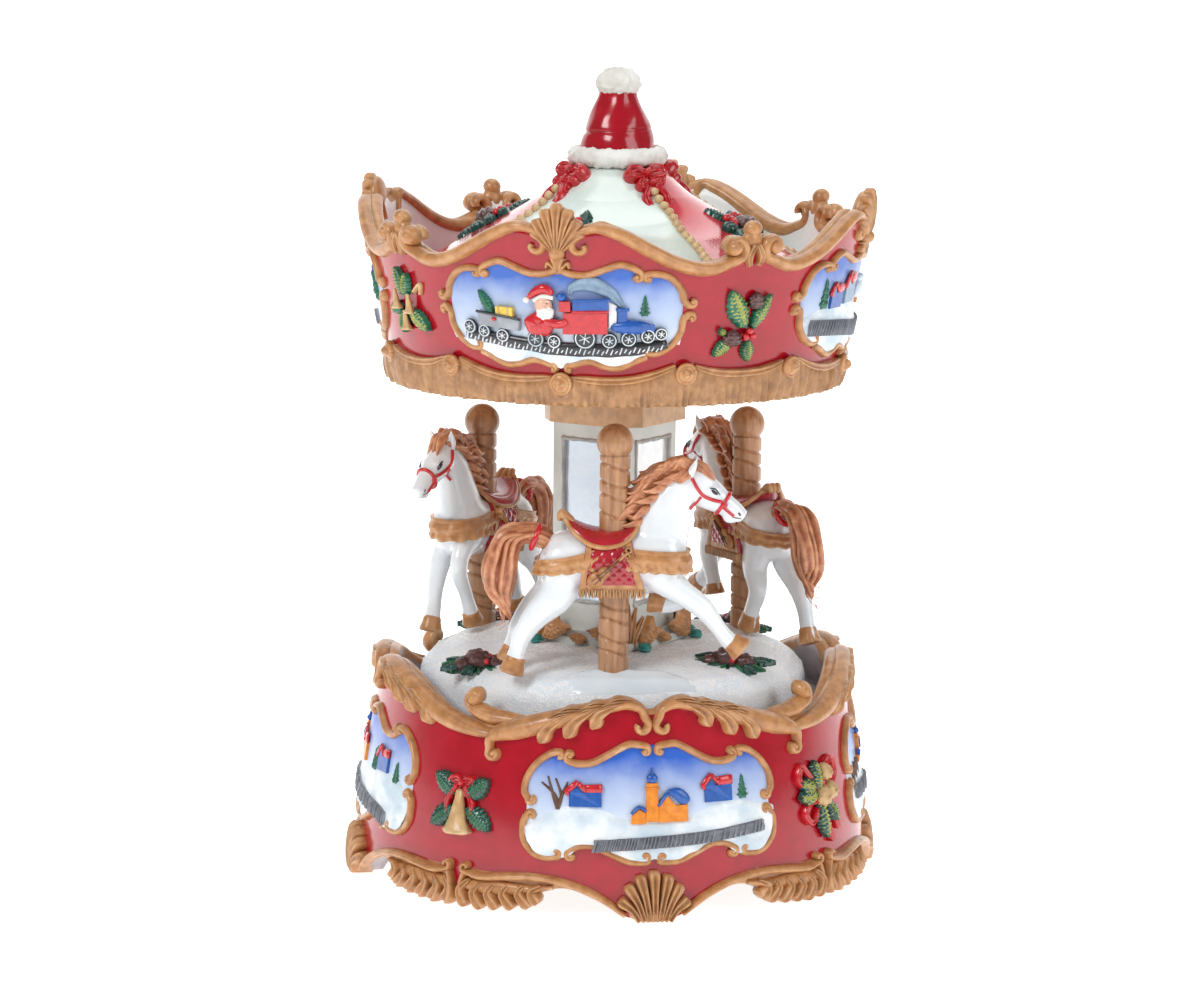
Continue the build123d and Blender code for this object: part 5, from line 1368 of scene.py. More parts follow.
# sprigs of pine cones, berries and holly lying on the snow
snow_sprigs = Piece("snow_sprigs")
for x, y, spin in ((-27.4, -23.6, 14), (24.6, -22.6, -10), (26.0, 25.0, 150), (-25.0, 27.0, 200)):
    ground = snow_point(hypot(x, y), azimuth_of((x, y)))
    angle = radians(spin)
    spot = tilted_frame((x, y, ground[2] - 0.4), (cos(angle), sin(angle), 0.0),
                        (-sin(angle), cos(angle), 0.35))
    for i in range(26):
        a = 2 * pi * (i + 0.6 * random.random()) / 26
        length = 4.2 + 3.6 * abs(cos(a)) + 1.4 * random.random()
        bend = random.uniform(-1.2, 1.2)
        reach_u, reach_v = cos(a) * length, sin(a) * length * 0.55
        stroke(snow_sprigs, [(0.3 * reach_u, 0.3 * reach_v, 0.30, 0.9),
                             (0.7 * reach_u + bend * 0.4, 0.7 * reach_v + bend, 0.42, 1.1),
                             (reach_u, reach_v + bend * 0.6, 0.12, 0.4)],
               "dark_green" if i % 3 else "leaf_mid", spot, GROOVED, base=0.15 + 0.5 * random.random(),
               steps=3)
    for root, tip in (((-3.0, -0.5), (-9.0, -1.4)), ((3.4, 0.0), (9.4, 0.6)), ((2.0, -1.0), (5.6, -3.0)),
                      ((-2.0, -1.2), (-5.0, -3.4))):
        leaf(snow_sprigs, root, tip, 1.2, "dark_green", spot, teeth=5, depth=0.3, lift=1.4, base=0.4)
    for centre, size, tall in (((-0.8, 0.6, 1.7), 2.3, 1.15), ((3.0, -0.2, 1.2), 1.7, 1.2),
                               ((-4.2, -0.4, 1.1), 1.5, 1.2)):
        pine_cone(snow_sprigs, centre, size, "cone", spot, tall=tall)
    for u, v in ((1.2, 1.2), (1.8, 0.4), (-2.4, 1.5), (0.6, -1.6)):
        dome(snow_sprigs, (u, v, 2.2), (0.7, 0.7, 0.8), "bright_red", spot, 5, 9)
snow_sprigs.done("carousel")

# ---------------------------------------------------------------- leaves round the column's foot
foot_leaves = Piece("column_leaves")
COLUMN_CORNER = 13.9
for corner in range(SIDES):
    azimuth = COLUMN_YAW + 90 * corner
    angle = radians(azimuth)
    spot = tilted_frame(round_z(COLUMN_CORNER + 1.4, azimuth, 49.0), (cos(angle), sin(angle), 0), (0, 0, 1))
    for lean, tall in ((-3.0, 6.0), (-1.6, 8.4), (0.0, 9.6), (1.6, 9.0), (3.2, 7.0)):
        stroke(foot_leaves, [(lean * 0.25, 0.0, 0.5, 1.0), (lean * 0.5, tall * 0.5, 0.75, 1.4),
                             (lean, tall, 0.22, 0.9)], "gold", spot, GROOVED)
    face = radians(azimuth + 45)
    front = tilted_frame(round_z(12.6, azimuth + 45, 49.2), (cos(face), sin(face), 0), (0, 0, 1))
    for side in (-1, 1):
        leaf(foot_leaves, (side * 8.6, 0.6), (side * 6.0, 6.6), 1.9, "gold", front, teeth=3, depth=0.12,
             lift=2.0, bend=side * 0.9)
        leaf(foot_leaves, (side * 7.4, 0.6), (side * 2.2, 3.4), 1.5, "gold", front, teeth=3, depth=0.12,
             lift=2.0, bend=side * -0.9)
        for i in range(9):
            a = radians(20 + 17 * i)
            stroke(foot_leaves, [(side * 10.0, -0.2, 0.3, 1.6),
                                 (side * 10.0 + 1.9 * cos(a), -0.2 + 1.7 * sin(a), 0.12, 0.9)], "teal",
                   front, base=1.6, steps=2)
    leaf(foot_leaves, (1.6, 0.8), (-2.4, 1.8), 1.2, "gold", front, teeth=3, depth=0.12, lift=1.8)
foot_leaves.done("carousel")

# ---------------------------------------------------------------- poles with carved bands
POLE_CIRCLE, POLE_AZIMUTHS, POLE_RADIUS, POLE_BALL = 32.8, (0.0, 120.0, 240.0), 3.1, 3.8
for index, azimuth in enumerate(POLE_AZIMUTHS):
    name = f"pole_{index + 1}"
    low, high = box_mm(name)
    centre_x, centre_y, _ = round_z(POLE_CIRCLE, azimuth, 0)
    top = high[2]
    ball_height = top - POLE_BALL
    bands = [52.0, 54.6, 58.7, 61.4, 80.4, 84.2, 86.9, 90.6]
    pole = Piece(f"carved_pole_{index + 1}")
    rows = []
    for z in np.arange(low[2], ball_height - 2.6, 0.22):
        row = []
        for i in range(36):
            theta = 2 * pi * i / 36
            cut = 0.0
            for band in bands:
                line = band + 0.35 * index - 0.85 * sin(theta) + 0.15 * sin(2 * theta + band)
                cut += 0.5 * exp(-((z - line) / 0.26) ** 2)
            grain = 0.05 * sin(9 * theta + 0.3 * sin(z)) + 0.03 * sin(17 * theta)
            reach = POLE_RADIUS - cut + grain
            row.append((centre_x + reach * sin(theta), centre_y - reach * cos(theta), z))
        rows.append(row)
    for step in range(19):
        phi = radians(-43 + 132 * step / 18)
        rows.append([(centre_x + POLE_BALL * cos(phi) * sin(2 * pi * i / 36),
                      centre_y - POLE_BALL * cos(phi) * cos(2 * pi * i / 36),
                      ball_height + POLE_BALL * sin(phi)) for i in range(36)])
    pole.grid(rows, "pole", closed=True, ends=True)
    pole.done("carousel", name)

# ---------------------------------------------------------------- horses
# Sections are (forward, side, height, half width, half depth) from the horse's own pole;
# its outer side is negative.
HORSE_VOXEL = 0.40
HEAD_REACH = 6.0        # how far off the head a ray starts, so that it meets no leg
TORSO = [(-15.4, 0, 71, 2.2, 2.4), (-13.6, 0, 70.6, 4.5, 5.2), (-9.5, 0, 70.6, 5.7, 6.6),
         (-3.5, 0, 70.5, 5.5, 6.3), (3, 0, 70.7, 5.5, 6.6), (9, 0, 71.4, 5.5, 7.1), (13, 0, 72, 4.5, 5.6),
         (15, 0, 72.4, 2.2, 2.6)]
NECK = [(8.6, 0, 74, 4.4, 6.4), (10.2, 0, 79, 3.5, 5.5), (12, 0, 83.6, 2.9, 4.5), (14.6, 0, 87.4, 2.4, 3.4)]
HEAD = [(13.6, 0, 88.6, 1.9, 2.3), (16.4, 0, 87, 2.5, 3.5), (19.4, 0, 84.9, 2.4, 3.3),
        (22.6, 0, 82.8, 1.9, 2.4), (25.0, 0, 81.2, 1.7, 1.9), (26.6, 0, 80.1, 1.3, 1.4)]
REACHING_FORE = [(8.5, -2.8, 68.5, 2.3, 3.5), (13.5, -3.4, 65.2, 2.1, 2.7), (18.2, -3.7, 61.9, 1.9, 2.3),
                 (21.2, -3.8, 58.2, 1.5, 1.7), (23.2, -3.8, 55.6, 1.6, 1.8), (26, -3.8, 53.2, 2.0, 2.3)]
TUCKED_FORE = [(8.5, 2.8, 68.5, 2.3, 3.3), (12.6, 3.3, 66, 2.0, 2.4), (14.8, 3.5, 63, 1.8, 2.0),
               (11.4, 3.5, 61, 1.5, 1.6), (7.6, 3.5, 61.6, 1.8, 1.9)]
STANDING_FORE = [(9, -2.8, 68, 2.3, 3.5), (11.4, -3.4, 62.8, 2.1, 2.4), (12.8, -3.7, 57.4, 1.7, 1.8),
                 (13.4, -3.8, 52.8, 1.6, 1.7), (14.4, -3.8, 49.2, 2.1, 2.2)]
BENT_FORE = [(8.5, 2.8, 68.5, 2.3, 3.3), (13, 3.2, 66.6, 2.0, 2.4), (14.6, 3.3, 62.6, 1.8, 2.0),
             (12, 3.3, 57.6, 1.5, 1.6), (10.2, 3.3, 54, 1.6, 1.7), (8.8, 3.3, 51, 2.0, 2.1)]
HANGING_FORE = [(8.5, 2.8, 68.5, 2.3, 3.3), (10, 3.2, 64.2, 2.0, 2.4), (8.8, 3.3, 60.4, 1.7, 1.8),
                (7.6, 3.3, 57.8, 1.6, 1.7), (6.9, 3.3, 55.2, 1.9, 2.0)]
STRETCHED_HIND = [(-9.6, -2.6, 68.6, 2.8, 4.4), (-11.8, -3.2, 64, 2.6, 3.8), (-15.9, -3.4, 59.8, 2.2, 2.8),
                  (-18.6, -3.4, 55.8, 1.8, 2.1), (-19.7, -3.4, 52.4, 1.6, 1.8), (-21, -3.4, 48.4, 2.1, 2.2)]
STRETCHED_HIND_INNER = [(f - 0.8, -s, h + 1.2 * (69 - h) / 20, w, d) for f, s, h, w, d in STRETCHED_HIND]
STEPPING_HIND = [(-9.6, 2.6, 68.6, 2.8, 4.4), (-9.2, 3.2, 63.2, 2.5, 3.4), (-10.8, 3.4, 58.4, 1.9, 2.4),
                 (-8.8, 3.4, 54.2, 1.6, 1.9), (-7.4, 3.4, 50, 2.1, 2.2)]
SADDLE = [(-10, 0, 79.8, 1.2, 0.6), (-8.2, 0, 78.4, 3.4, 0.9), (-5.4, 0, 77.0, 4.7, 1.2),
          (-2.2, 0, 76.4, 5.0, 1.3), (1.6, 0, 76.8, 4.4, 1.2), (3.8, 0, 78.0, 3.0, 0.9),
          (5.0, 0, 79.2, 1.2, 0.6)]
TAIL = [(-14.2, 0, 74.6), (-17.6, 0, 76.6), (-21.4, 0, 75.2), (-23.6, 0, 70.6), (-23.0, 0, 65.6),
        (-21.6, 0, 61.6), (-21.8, 0, 57.8)]
LEGS = [(REACHING_FORE, TUCKED_FORE, STRETCHED_HIND, STRETCHED_HIND_INNER),
        (REACHING_FORE, HANGING_FORE, STRETCHED_HIND, STEPPING_HIND),
        (STANDING_FORE, BENT_FORE, STRETCHED_HIND, STRETCHED_HIND_INNER)]


def limb_rows(sections, steps=5, turns=22):
    """Rings square to a smoothed path."""
    line = smoothed(sections, steps)
    rows = []
    for i, ring in enumerate(line):
        before, after = line[max(i - 1, 0)], line[min(i + 1, len(line) - 1)]
        along = Vector((after - before)[:3]).normalized()
        deep = along.cross(Vector((0, 1, 0))).normalized()
        side = deep.cross(along)
        rows.append([tuple(Vector(ring[:3]) + side * ring[3] * cos(2 * pi * j / turns)
                           + deep * ring[4] * sin(2 * pi * j / turns)) for j in range(turns)])
    return rows


def strand(piece, path, paint, ridges=3, steps=6, turns=14, twist=0.25, depth=0.20):
    """Ridged, tapering lock of hair along (forward, side, height, thickness) points."""
    line = smoothed(path, steps)
    rows = []
    for i, ring in enumerate(line):
        before, after = line[max(i - 1, 0)], line[min(i + 1, len(line) - 1)]
        along = Vector((after - before)[:3]).normalized()
        side = Vector((0, 1, 0))
        side = (side - along * side.dot(along)).normalized()
        deep = along.cross(side)
        row = []
        for j in range(turns):
            theta = 2 * pi * j / turns
            reach = max(ring[3], 0.05)
            if ridges:
                reach = reach * (1 + depth * sin(ridges * theta + twist * i))
            row.append(tuple(Vector(ring[:3]) + side * reach * cos(theta) + deep * reach * sin(theta)))
        rows.append(row)
    piece.grid(rows, paint, closed=True, ends=True)


def horse_mesh(name, legs):
    """The bare horse grown into one skin, with its muscles."""
    raw = Piece(name)
    for sections in (TORSO, NECK, HEAD) + legs:
        raw.grid(limb_rows(sections), "white", closed=True, ends=True)

    def place(u, v, w):
        return (u, v, w)
    for side in (-1, 1):
        # haunch, shoulder, cheek, brow and nostril
        for centre, radii, rings, turns in (((-10.2, 3.3, 70.2), (4.6, 2.7, 5.0), 10, 18),
                                            ((9.4, 3.3, 70.4), (3.6, 2.4, 4.4), 10, 18),
                                            ((17.2, 1.0, 86.0), (2.6, 1.9, 2.8), 10, 18),
                                            ((20.6, 1.55, 86.1), (1.3, 0.9, 0.8), 8, 14),
                                            ((25.9, 0.9, 80.9), (1.0, 0.9, 0.9), 8, 14)):
            forward, out, height = centre
            dome(raw, (forward, side * out, height), radii, "white", place, rings, turns, full=True)
    dome(raw, (23.9, 0, 79.9), (1.7, 1.3, 1.1), "white", place, 8, 14, full=True)
    built = bpy.data.objects.new(name, raw.mesh())
    show(built)
    joined = built.modifiers.new("one_skin", "REMESH")
    joined.mode = "VOXEL"
    joined.voxel_size = HORSE_VOXEL * MM
    soft = built.modifiers.new("soft", "SMOOTH")
    soft.factor = 0.6
    soft.iterations = 6
    graph = bpy.context.evaluated_depsgraph_get()
    skin = bpy.data.meshes.new_from_object(built.evaluated_get(graph))
    bpy.data.objects.remove(built)
    points = [vertex.co / MM for vertex in skin.vertices]
    faces = [tuple(polygon.vertices) for polygon in skin.polygons]
    return points, faces


def meet(tree, aim, direction, fallback, reach=30.0):
    """Where a ray from outside meets the skin on its way to the aim."""
    way = Vector(direction).normalized()
    hit = tree.ray_cast(Vector(aim) + way * reach, -way, reach)[0]
    return hit if hit is not None else Vector(aim) + way * fallback


def side_frame(tree, forward, height, side, spin=0.0, lift=0.0):
    """Frame on the flank or head: right is forward on the outer side, out is away from the horse."""
    hit = meet(tree, (forward, 0, height), (0, side, 0), 2.0)
    angle = radians(spin)
    right = Vector((-side * cos(angle), 0, sin(angle)))
    up = Vector((side * sin(angle), 0, cos(angle)))
    return tilted_frame(hit + Vector((0, side * lift, 0)), right, up)


def hoof(piece, sections):
    """Hoof over the end of a leg, flared, with a cleft in front."""
    *_, near, far = [np.array(ring, float) for ring in sections]
    rows = []
    for t, size in ((0.24, 0.86), (0.32, 1.02), (0.42, 1.06), (0.54, 1.02), (0.86, 1.12), (1.04, 1.14),
                    (1.12, 1.04), (1.15, 0.6), (1.15, 0.1)):
        ring = near + (far - near) * t
        rows.append((*ring[:3], ring[3] * size, ring[4] * size))
    made = []
    along = Vector((far - near)[:3]).normalized()
    deep = along.cross(Vector((0, 1, 0))).normalized()
    if deep.x < 0:
        deep = -deep
    side = deep.cross(along)
    for row in rows:
        ring = []
        for j in range(28):
            theta = 2 * pi * j / 28
            cleft = 1 - 0.16 * exp(-((theta - pi) / 0.2) ** 2) + 0.02 * sin(14 * theta)
            front = 1 + 0.12 * max(0.0, cos(theta))
            ring.append(tuple(Vector(row[:3]) + deep * row[4] * cos(theta) * cleft * front
                              + side * row[3] * sin(theta) * cleft))
        made.append(ring)
    piece.grid(made, "gold", closed=True, ends=True)


def quilt(along, across):
    """Diamond quilting, deepest along the diagonals."""
    a, b = (along + across) / 2.1, (along - across) / 2.1
    return 0.34 * min(abs(sin(pi * a)), abs(sin(pi * b))) ** 0.5


HEM, FLANK, BLANKET_COLUMNS, BLANKET_ROWS = 65.4, 71.5, 84, 44


def blanket_ends(height):
    """Front and rear edge of the blanket at a height."""
    t = min(1.0, max(0.0, (74.7 - height) / (74.7 - HEM)))
    return -5.6 - 1.5 * t, 3.5 + 2.9 * t


def blanket(piece, tree):
    rows, paints = [], []
    for i in range(BLANKET_ROWS + 1):
        share = i / BLANKET_ROWS
        top, under = [], []
        for j in range(BLANKET_COLUMNS + 1):
            t = -1 + 2 * j / BLANKET_COLUMNS
            side = 1 if t > 0 else -1
            if abs(t) < 0.5:
                angle = t * pi
                way = Vector((0, sin(angle), cos(angle)))
                rear, front = blanket_ends(FLANK + 5 * cos(angle))
                forward = rear + (front - rear) * share
                skin = meet(tree, (forward, 0, FLANK - 0.5), way, 6)
            else:
                fall = (abs(t) - 0.5) / 0.5
                height = FLANK - 0.5 + (HEM - FLANK + 0.5) * fall
                rear, front = blanket_ends(height)
                forward = rear + (front - rear) * share
                way = Vector((0, side, 0))
                flank = meet(tree, (forward, 0, FLANK - 0.5), way, 6)
                skin = Vector((forward, flank.y - side * 0.35 * fall**2, height))
            edge = min(share, 1 - share) * (front - rear)
            border = edge < 1.25 or abs(t) > 0.88
            across = t * 13.0
            lift = 0.62 + (0.22 if border else quilt(forward, across))
            if 1.25 <= edge < 1.55:
                lift -= 0.25
            top.append(tuple(skin + way * lift))
            under.append(tuple(skin - way * 0.6))
            if i and j:
                paints.append("gold" if border else "crimson")
        rows.append(top + under[::-1])
    start = len(piece.paints)
    piece.grid(rows, "crimson", closed=True, ends=True)
    width = len(rows[0])
    for i in range(BLANKET_ROWS):
        for j in range(BLANKET_COLUMNS):
            piece.paints[start + i * width + j] = paints[i * BLANKET_COLUMNS + j]
    for side in (-1, 1):
        for k in range(22):
            forward = -6.9 + 13.1 * k / 21
            frame_at = tilted_frame((forward, meet(tree, (forward, 0, FLANK - 0.5), (0, side, 0), 6).y
                                     + side * 0.1, HEM), (-side, 0, 0), (0, 0, 1))
            stroke(piece, [(0, 0.5, 0.24, 0.75), (0.1 * sin(3 * k), -0.5, 0.30, 0.85),
                           (0.15 * sin(5 * k), -1.35, 0.16, 0.6)], "fringe", frame_at, steps=2)


def violin(piece, tree, side):
    """Small violin and bow in relief across the blanket."""
    at = side_frame(tree, -0.6, 70.6, side, lift=0.8)
    flip = -side
    angle = radians(41)

    def turned(u, v, w):
        u, v = u * cos(angle) - v * sin(angle), u * sin(angle) + v * cos(angle)
        return at(u * flip, v, w)
    dome(piece, (-4.1, 0, 0.3), (1.85, 1.65, 0.9), "gold", turned, 8, 20)
    dome(piece, (-1.9, 0, 0.3), (1.45, 1.25, 0.85), "gold", turned, 8, 20)
    stroke(piece, [(-1.2, 0, 0.40, 1.2), (2.4, 0, 0.34, 1.1), (4.8, 0, 0.30, 1.0)], "gold", turned)
    stroke(piece, curl((4.9, 0.45), 0.7, -90, 300, 0.28, 1.1), "gold", turned, steps=4)
    for u in (3.7, 4.4):
        stroke(piece, [(u, -0.85, 0.16, 0.9), (u, 0.85, 0.16, 0.9)], "gold", turned, steps=2)
    stroke(piece, [(-4.9, -0.5, 0.12, 1.35), (2.2, -0.02, 0.12, 1.35)], "cone", turned, steps=2)
    stroke(piece, [(-4.9, 0.4, 0.12, 1.35), (2.2, 0.12, 0.12, 1.35)], "cone", turned, steps=2)
    stroke(piece, [(-3.4, -0.8, 0.22, 1.35), (-3.2, 0.8, 0.22, 1.35)], "cone", turned, steps=2)


def strap(piece, tree, centre, sweep, low, high):
    """Scalloped, fringed strap round the chest or rump.

    low and high give its edges at a share of the sweep.
    """
    rows, columns = [], 90
    for i in range(columns + 1):
        share = i / columns
        angle = radians(sweep[0] + (sweep[1] - sweep[0]) * share)
        way = Vector((cos(angle), sin(angle), 0))
        bottom, top = low(share), high(share)
        outer, inner = [], []
        for j in range(9):
            t = j / 8
            scallop = 0.45 * abs(sin(11 * pi * share)) * (1 - t)
            height = bottom + (top - bottom) * t - scallop
            skin = meet(tree, (centre, 0, height), way, 5)
            relief = 0.72 + 0.26 * (cos(2 * pi * (t * 2.0 - 0.1)) + 0.9 * sin(30 * pi * share + 2.4 * t)
                                    * (t < 0.5))
            outer.append(tuple(skin + way * relief))
            inner.append(tuple(skin - way * 0.4))
        rows.append(outer + inner[::-1])
    piece.grid(rows, "gold", closed=True, ends=True)


def on_head(tree, path, side, lift=0.12):
    """Points lifted off one side of the head, from (forward, height) pairs."""
    return [tuple(meet(tree, (f, 0, z), (0, side, 0), 0.6, HEAD_REACH) + Vector((0, side * lift, 0)))
            for f, z in path]


def bridle(piece, tree):
    def band(forward, height, tilt, thick):
        axis = Vector((cos(radians(tilt)), 0, sin(radians(tilt))))
        up = Vector((-axis.z, 0, axis.x))
        points = []
        for k in range(25):
            theta = 2 * pi * k / 24
            way = up * cos(theta) + Vector((0, 1, 0)) * sin(theta)
            points.append((*(meet(tree, (forward, 0, height), way, 2, HEAD_REACH) + way * 0.1), thick))
        strand(piece, points, "bright_red", ridges=0, steps=3, turns=10)
    band(22.2, 83.0, -34, 0.42)
    for side in (-1, 1):
        for thick, path in ((0.38, [(22.0, 83.6), (20.2, 84.0), (18.2, 84.9), (16.8, 86.6), (15.8, 88.4)]),
                            (0.34, [(22.3, 82.4), (23.6, 81.3), (24.4, 80.6)]),
                            (0.32, [(17.6, 84.6), (16.6, 83.2), (15.4, 82.0)])):
            points = on_head(tree, path, side)
            strand(piece, [(*p, thick) for p in points], "bright_red", ridges=0, steps=4, turns=10)
        frame_at = side_frame(tree, 22.4, 82.9, side)
        dome(piece, (0, 0, 0.05), (0.75, 0.75, 0.5), "bright_red", frame_at, 6, 12)


def face(piece, tree):
    for side in (-1, 1):
        eye = side_frame(tree, 20.4, 85.6, side, spin=side * 38, lift=-0.06)
        dome(piece, (0, 0, 0), (0.85, 0.36, 0.26), "black", eye, 8, 18, full=True)
        lash = [(-1.25, 0.1, 0.12, 0.32), (-0.2, 0.62, 0.17, 0.38), (1.2, 0.30, 0.10, 0.28)]
        stroke(piece, lash, "black", eye, steps=5)
        nostril = side_frame(tree, 25.6, 81.0, side, spin=side * 55, lift=-0.10)
        dome(piece, (0, 0, 0), (0.50, 0.26, 0.20), "cone", nostril, 6, 12, full=True)
        lips = on_head(tree, [(26.0, 80.2), (25.2, 80.2), (24.2, 80.4)], side, lift=-0.08)
        strand(piece, [(*p, 0.16) for p in lips], "cone", ridges=0, steps=4, turns=8)


def ears(piece):
    for side in (-1, 1):
        rows = []
        for i in range(13):
            t = i / 12
            wide = 1.35 * sin(pi * min(1.0, 0.25 + 0.78 * t)) + 0.03
            centre = Vector((15.4 + 1.5 * t, side * (1.75 + 0.9 * t), 88.4 + 4.5 * t))
            row = []
            for j in range(16):
                theta = 2 * pi * j / 16
                hollow = 1 - 0.75 * exp(-((theta - 0.5 * pi) / 0.7) ** 2)
                reach = Vector((wide * 0.75 * sin(theta) * hollow, wide * 0.72 * cos(theta), 0))
                row.append(tuple(centre + reach))
            rows.append(row)
        piece.grid(rows, "white", closed=True, ends=True)


def mane(piece, wild):
    random.seed(11)
    crest = smoothed([(15.6, 91.2), (13.2, 90.8), (10.4, 89.0), (8.0, 86.0), (6.0, 82.8), (4.6, 79.8)], 4)
    for i, (forward, height) in enumerate(crest):
        for side in (-1, 0, 1):
            reach = random.uniform(3.4, 5.6) * (0.8 + 0.3 * wild)
            drop = random.uniform(0.4, 2.4)
            wave = random.uniform(-0.9, 0.9)
            spread = side * random.uniform(1.2, 2.4)
            thick = random.uniform(0.66, 0.92)
            lock = [(forward + 1.6, side * 0.5, height - 1.8, thick * 0.8),
                    (forward - 0.4, side * 1.0, height + 0.1, thick),
                    (forward - reach * 0.40, spread * 0.8, height + 0.5 + wave * 0.5, thick * 0.95),
                    (forward - reach * 0.75, spread, height - drop * 0.5 - wave * 0.3, thick * 0.6),
                    (forward - reach, spread * 1.15, height - drop + wave, 0.15)]
            strand(piece, lock, "mane", steps=5, turns=12)
        if i % 3 == 0:
            for side in (-1, 1):
                lock = [(forward + 0.8, side * 1.3, height - 1.0, 0.6),
                        (forward - 0.6, side * 2.2, height - 2.0, 0.75),
                        (forward - 2.4, side * 2.6, height - 2.8 + random.uniform(-0.5, 0.5), 0.5),
                        (forward - 4.0, side * 2.5, height - 2.6, 0.12)]
                strand(piece, lock, "mane", steps=5, turns=12)
    for side in (-0.6, 0.1, 0.7):
        forelock = [(14.6, side, 91.0, 0.8), (17.0, side * 1.3, 91.0, 0.9),
                    (19.2, side * 1.5, 89.2 + side * 0.5, 0.7), (20.4, side * 1.8, 87.8, 0.15)]
        strand(piece, forelock, "mane", steps=5, turns=12)


def tail(piece, wild, lean):
    random.seed(5)
    line = smoothed(TAIL, 3)
    for k in range(8):
        theta = 2 * pi * k / 8
        path = []
        reach = 1.0 if k % 2 else 0.55
        stop = len(line) - (k * 2) % 5
        for i, (f, s, z) in enumerate(line[:stop]):
            t = i / (len(line) - 1)
            bulge = sin(pi * min(1.0, 0.1 + t * 0.95)) ** 0.8
            wave = 1.3 * sin(4.0 * t * pi + 0.4 * k)
            thick = 1.12 * (0.55 + 0.65 * bulge)
            if i >= stop - 1:
                thick *= 0.1
            if i >= stop - 2:
                thick *= 0.6
            path.append((f + reach * 2.5 * bulge * sin(theta) + wave * 0.6 - wild * 2.2 * t * t
                         * (1 + 0.4 * sin(theta)),
                         s + reach * 2.3 * bulge * cos(theta) + lean * t * t * 5.0,
                         z + 0.8 * bulge * cos(theta) * (1 - t), thick))
        tip = path[-1]
        path.append((tip[0] - 1.6 - wild * 1.5 * random.random(), tip[1] + 0.5 * cos(theta),
                     tip[2] - 0.8 + 1.1 * sin(theta), 0.1))
        strand(piece, path, "mane", ridges=4, steps=3, turns=20, twist=0.10, depth=0.30)
    ring = []
    for k in range(19):
        theta = 2 * pi * k / 18
        ring.append((-16.2 + 1.1 * sin(theta) * 0.8, 2.35 * cos(theta), 75.6 + 2.3 * sin(theta), 0.62))
    strand(piece, ring, "bright_red", ridges=0, steps=3, turns=10)


def saddle(piece):
    piece.grid(limb_rows(SADDLE, 7, 30), "crimson", closed=True, ends=True)
    line = smoothed(SADDLE, 7)
    for side in (-1, 1):
        skirt, edge = [], []
        for i, (f, _, z, w, _) in enumerate(line):
            fall = 1.9 * sin(pi * i / (len(line) - 1)) ** 0.7
            skirt.append([(f, side * w * 0.9, z + 0.5), (f, side * (w + 0.55), z + 0.1 - 0.2 * fall),
                          (f, side * (w + 0.95), z - 0.7 * fall), (f, side * (w + 0.9), z - fall),
                          (f, side * (w + 0.1), z - fall), (f, side * w * 0.8, z - 0.2)])
            edge.append((f, side * (w + 0.85), z - fall, 0.5))
        piece.grid(skirt, "crimson", closed=True, ends=True)
        strand(piece, edge[::3], "gold", ridges=0, steps=3, turns=10)
    for forward, height, way in ((-10.0, 79.9, -1), (5.1, 79.2, 1)):
        for shift in (-1.0, 0.0, 1.0):
            knob = [(forward - way * 1.4, shift * 1.5, height - 1.0, 0.7),
                    (forward, shift * 1.3, height + 0.2, 0.85),
                    (forward + way * 0.9, shift * 1.1, height + 0.7, 0.75),
                    (forward + way * 1.3, shift * 0.9, height - 0.2, 0.55),
                    (forward + way * 0.6, shift * 0.8, height - 0.5, 0.3)]
            strand(piece, knob, "gold", ridges=0, steps=4, turns=10)


def settle(piece, azimuth):
    """Turns and moves a horse from its own frame to its pole."""
    angle = radians(azimuth)
    x, y, _ = round_z(POLE_CIRCLE, azimuth, 0)
    piece.points = [(x + p[0] * cos(angle) - p[1] * sin(angle), y + p[0] * sin(angle) + p[1] * cos(angle),
                     p[2]) for p in piece.points]


for index, legs in enumerate(LEGS):
    azimuth = POLE_AZIMUTHS[index]
    skin_points, skin_faces = horse_mesh(f"horse_skin_{index + 1}", legs)
    tree = BVHTree.FromPolygons(skin_points, skin_faces)
    steed = Piece(f"horse_body_{index + 1}")
    steed.points = [tuple(point) for point in skin_points]
    for corners in skin_faces:
        steed.face(corners, "white")
    ears(steed)
    tack = Piece(f"horse_tack_{index + 1}")
    hair = Piece(f"horse_hair_{index + 1}")
    for sections in legs:
        hoof(tack, sections)
    blanket(tack, tree)
    for side in (-1, 1):
        violin(tack, tree, side)
    strap(tack, tree, 5.0, (-112, 112), lambda t: 69.0 + 0.9 * abs(2 * t - 1),
          lambda t: 73.3 + 0.9 * abs(2 * t - 1))
    strap(tack, tree, -5.5, (68, 292), lambda t: 68.2 + 2.0 * abs(2 * t - 1),
          lambda t: 70.9 + 3.2 * abs(2 * t - 1))
    saddle(tack)
    bridle(tack, tree)
    face(tack, tree)
    mane(hair, 1.0 if index == 0 else 0.8)
    tail(hair, (0.25, 1.0, 0.5)[index], (0.0, -0.4, 0.3)[index])
    for piece in (steed, tack, hair):
        settle(piece, azimuth)
    steed.done("carousel", f"horse_{index + 1}")
    tack.done("carousel")
    hair.done("carousel")

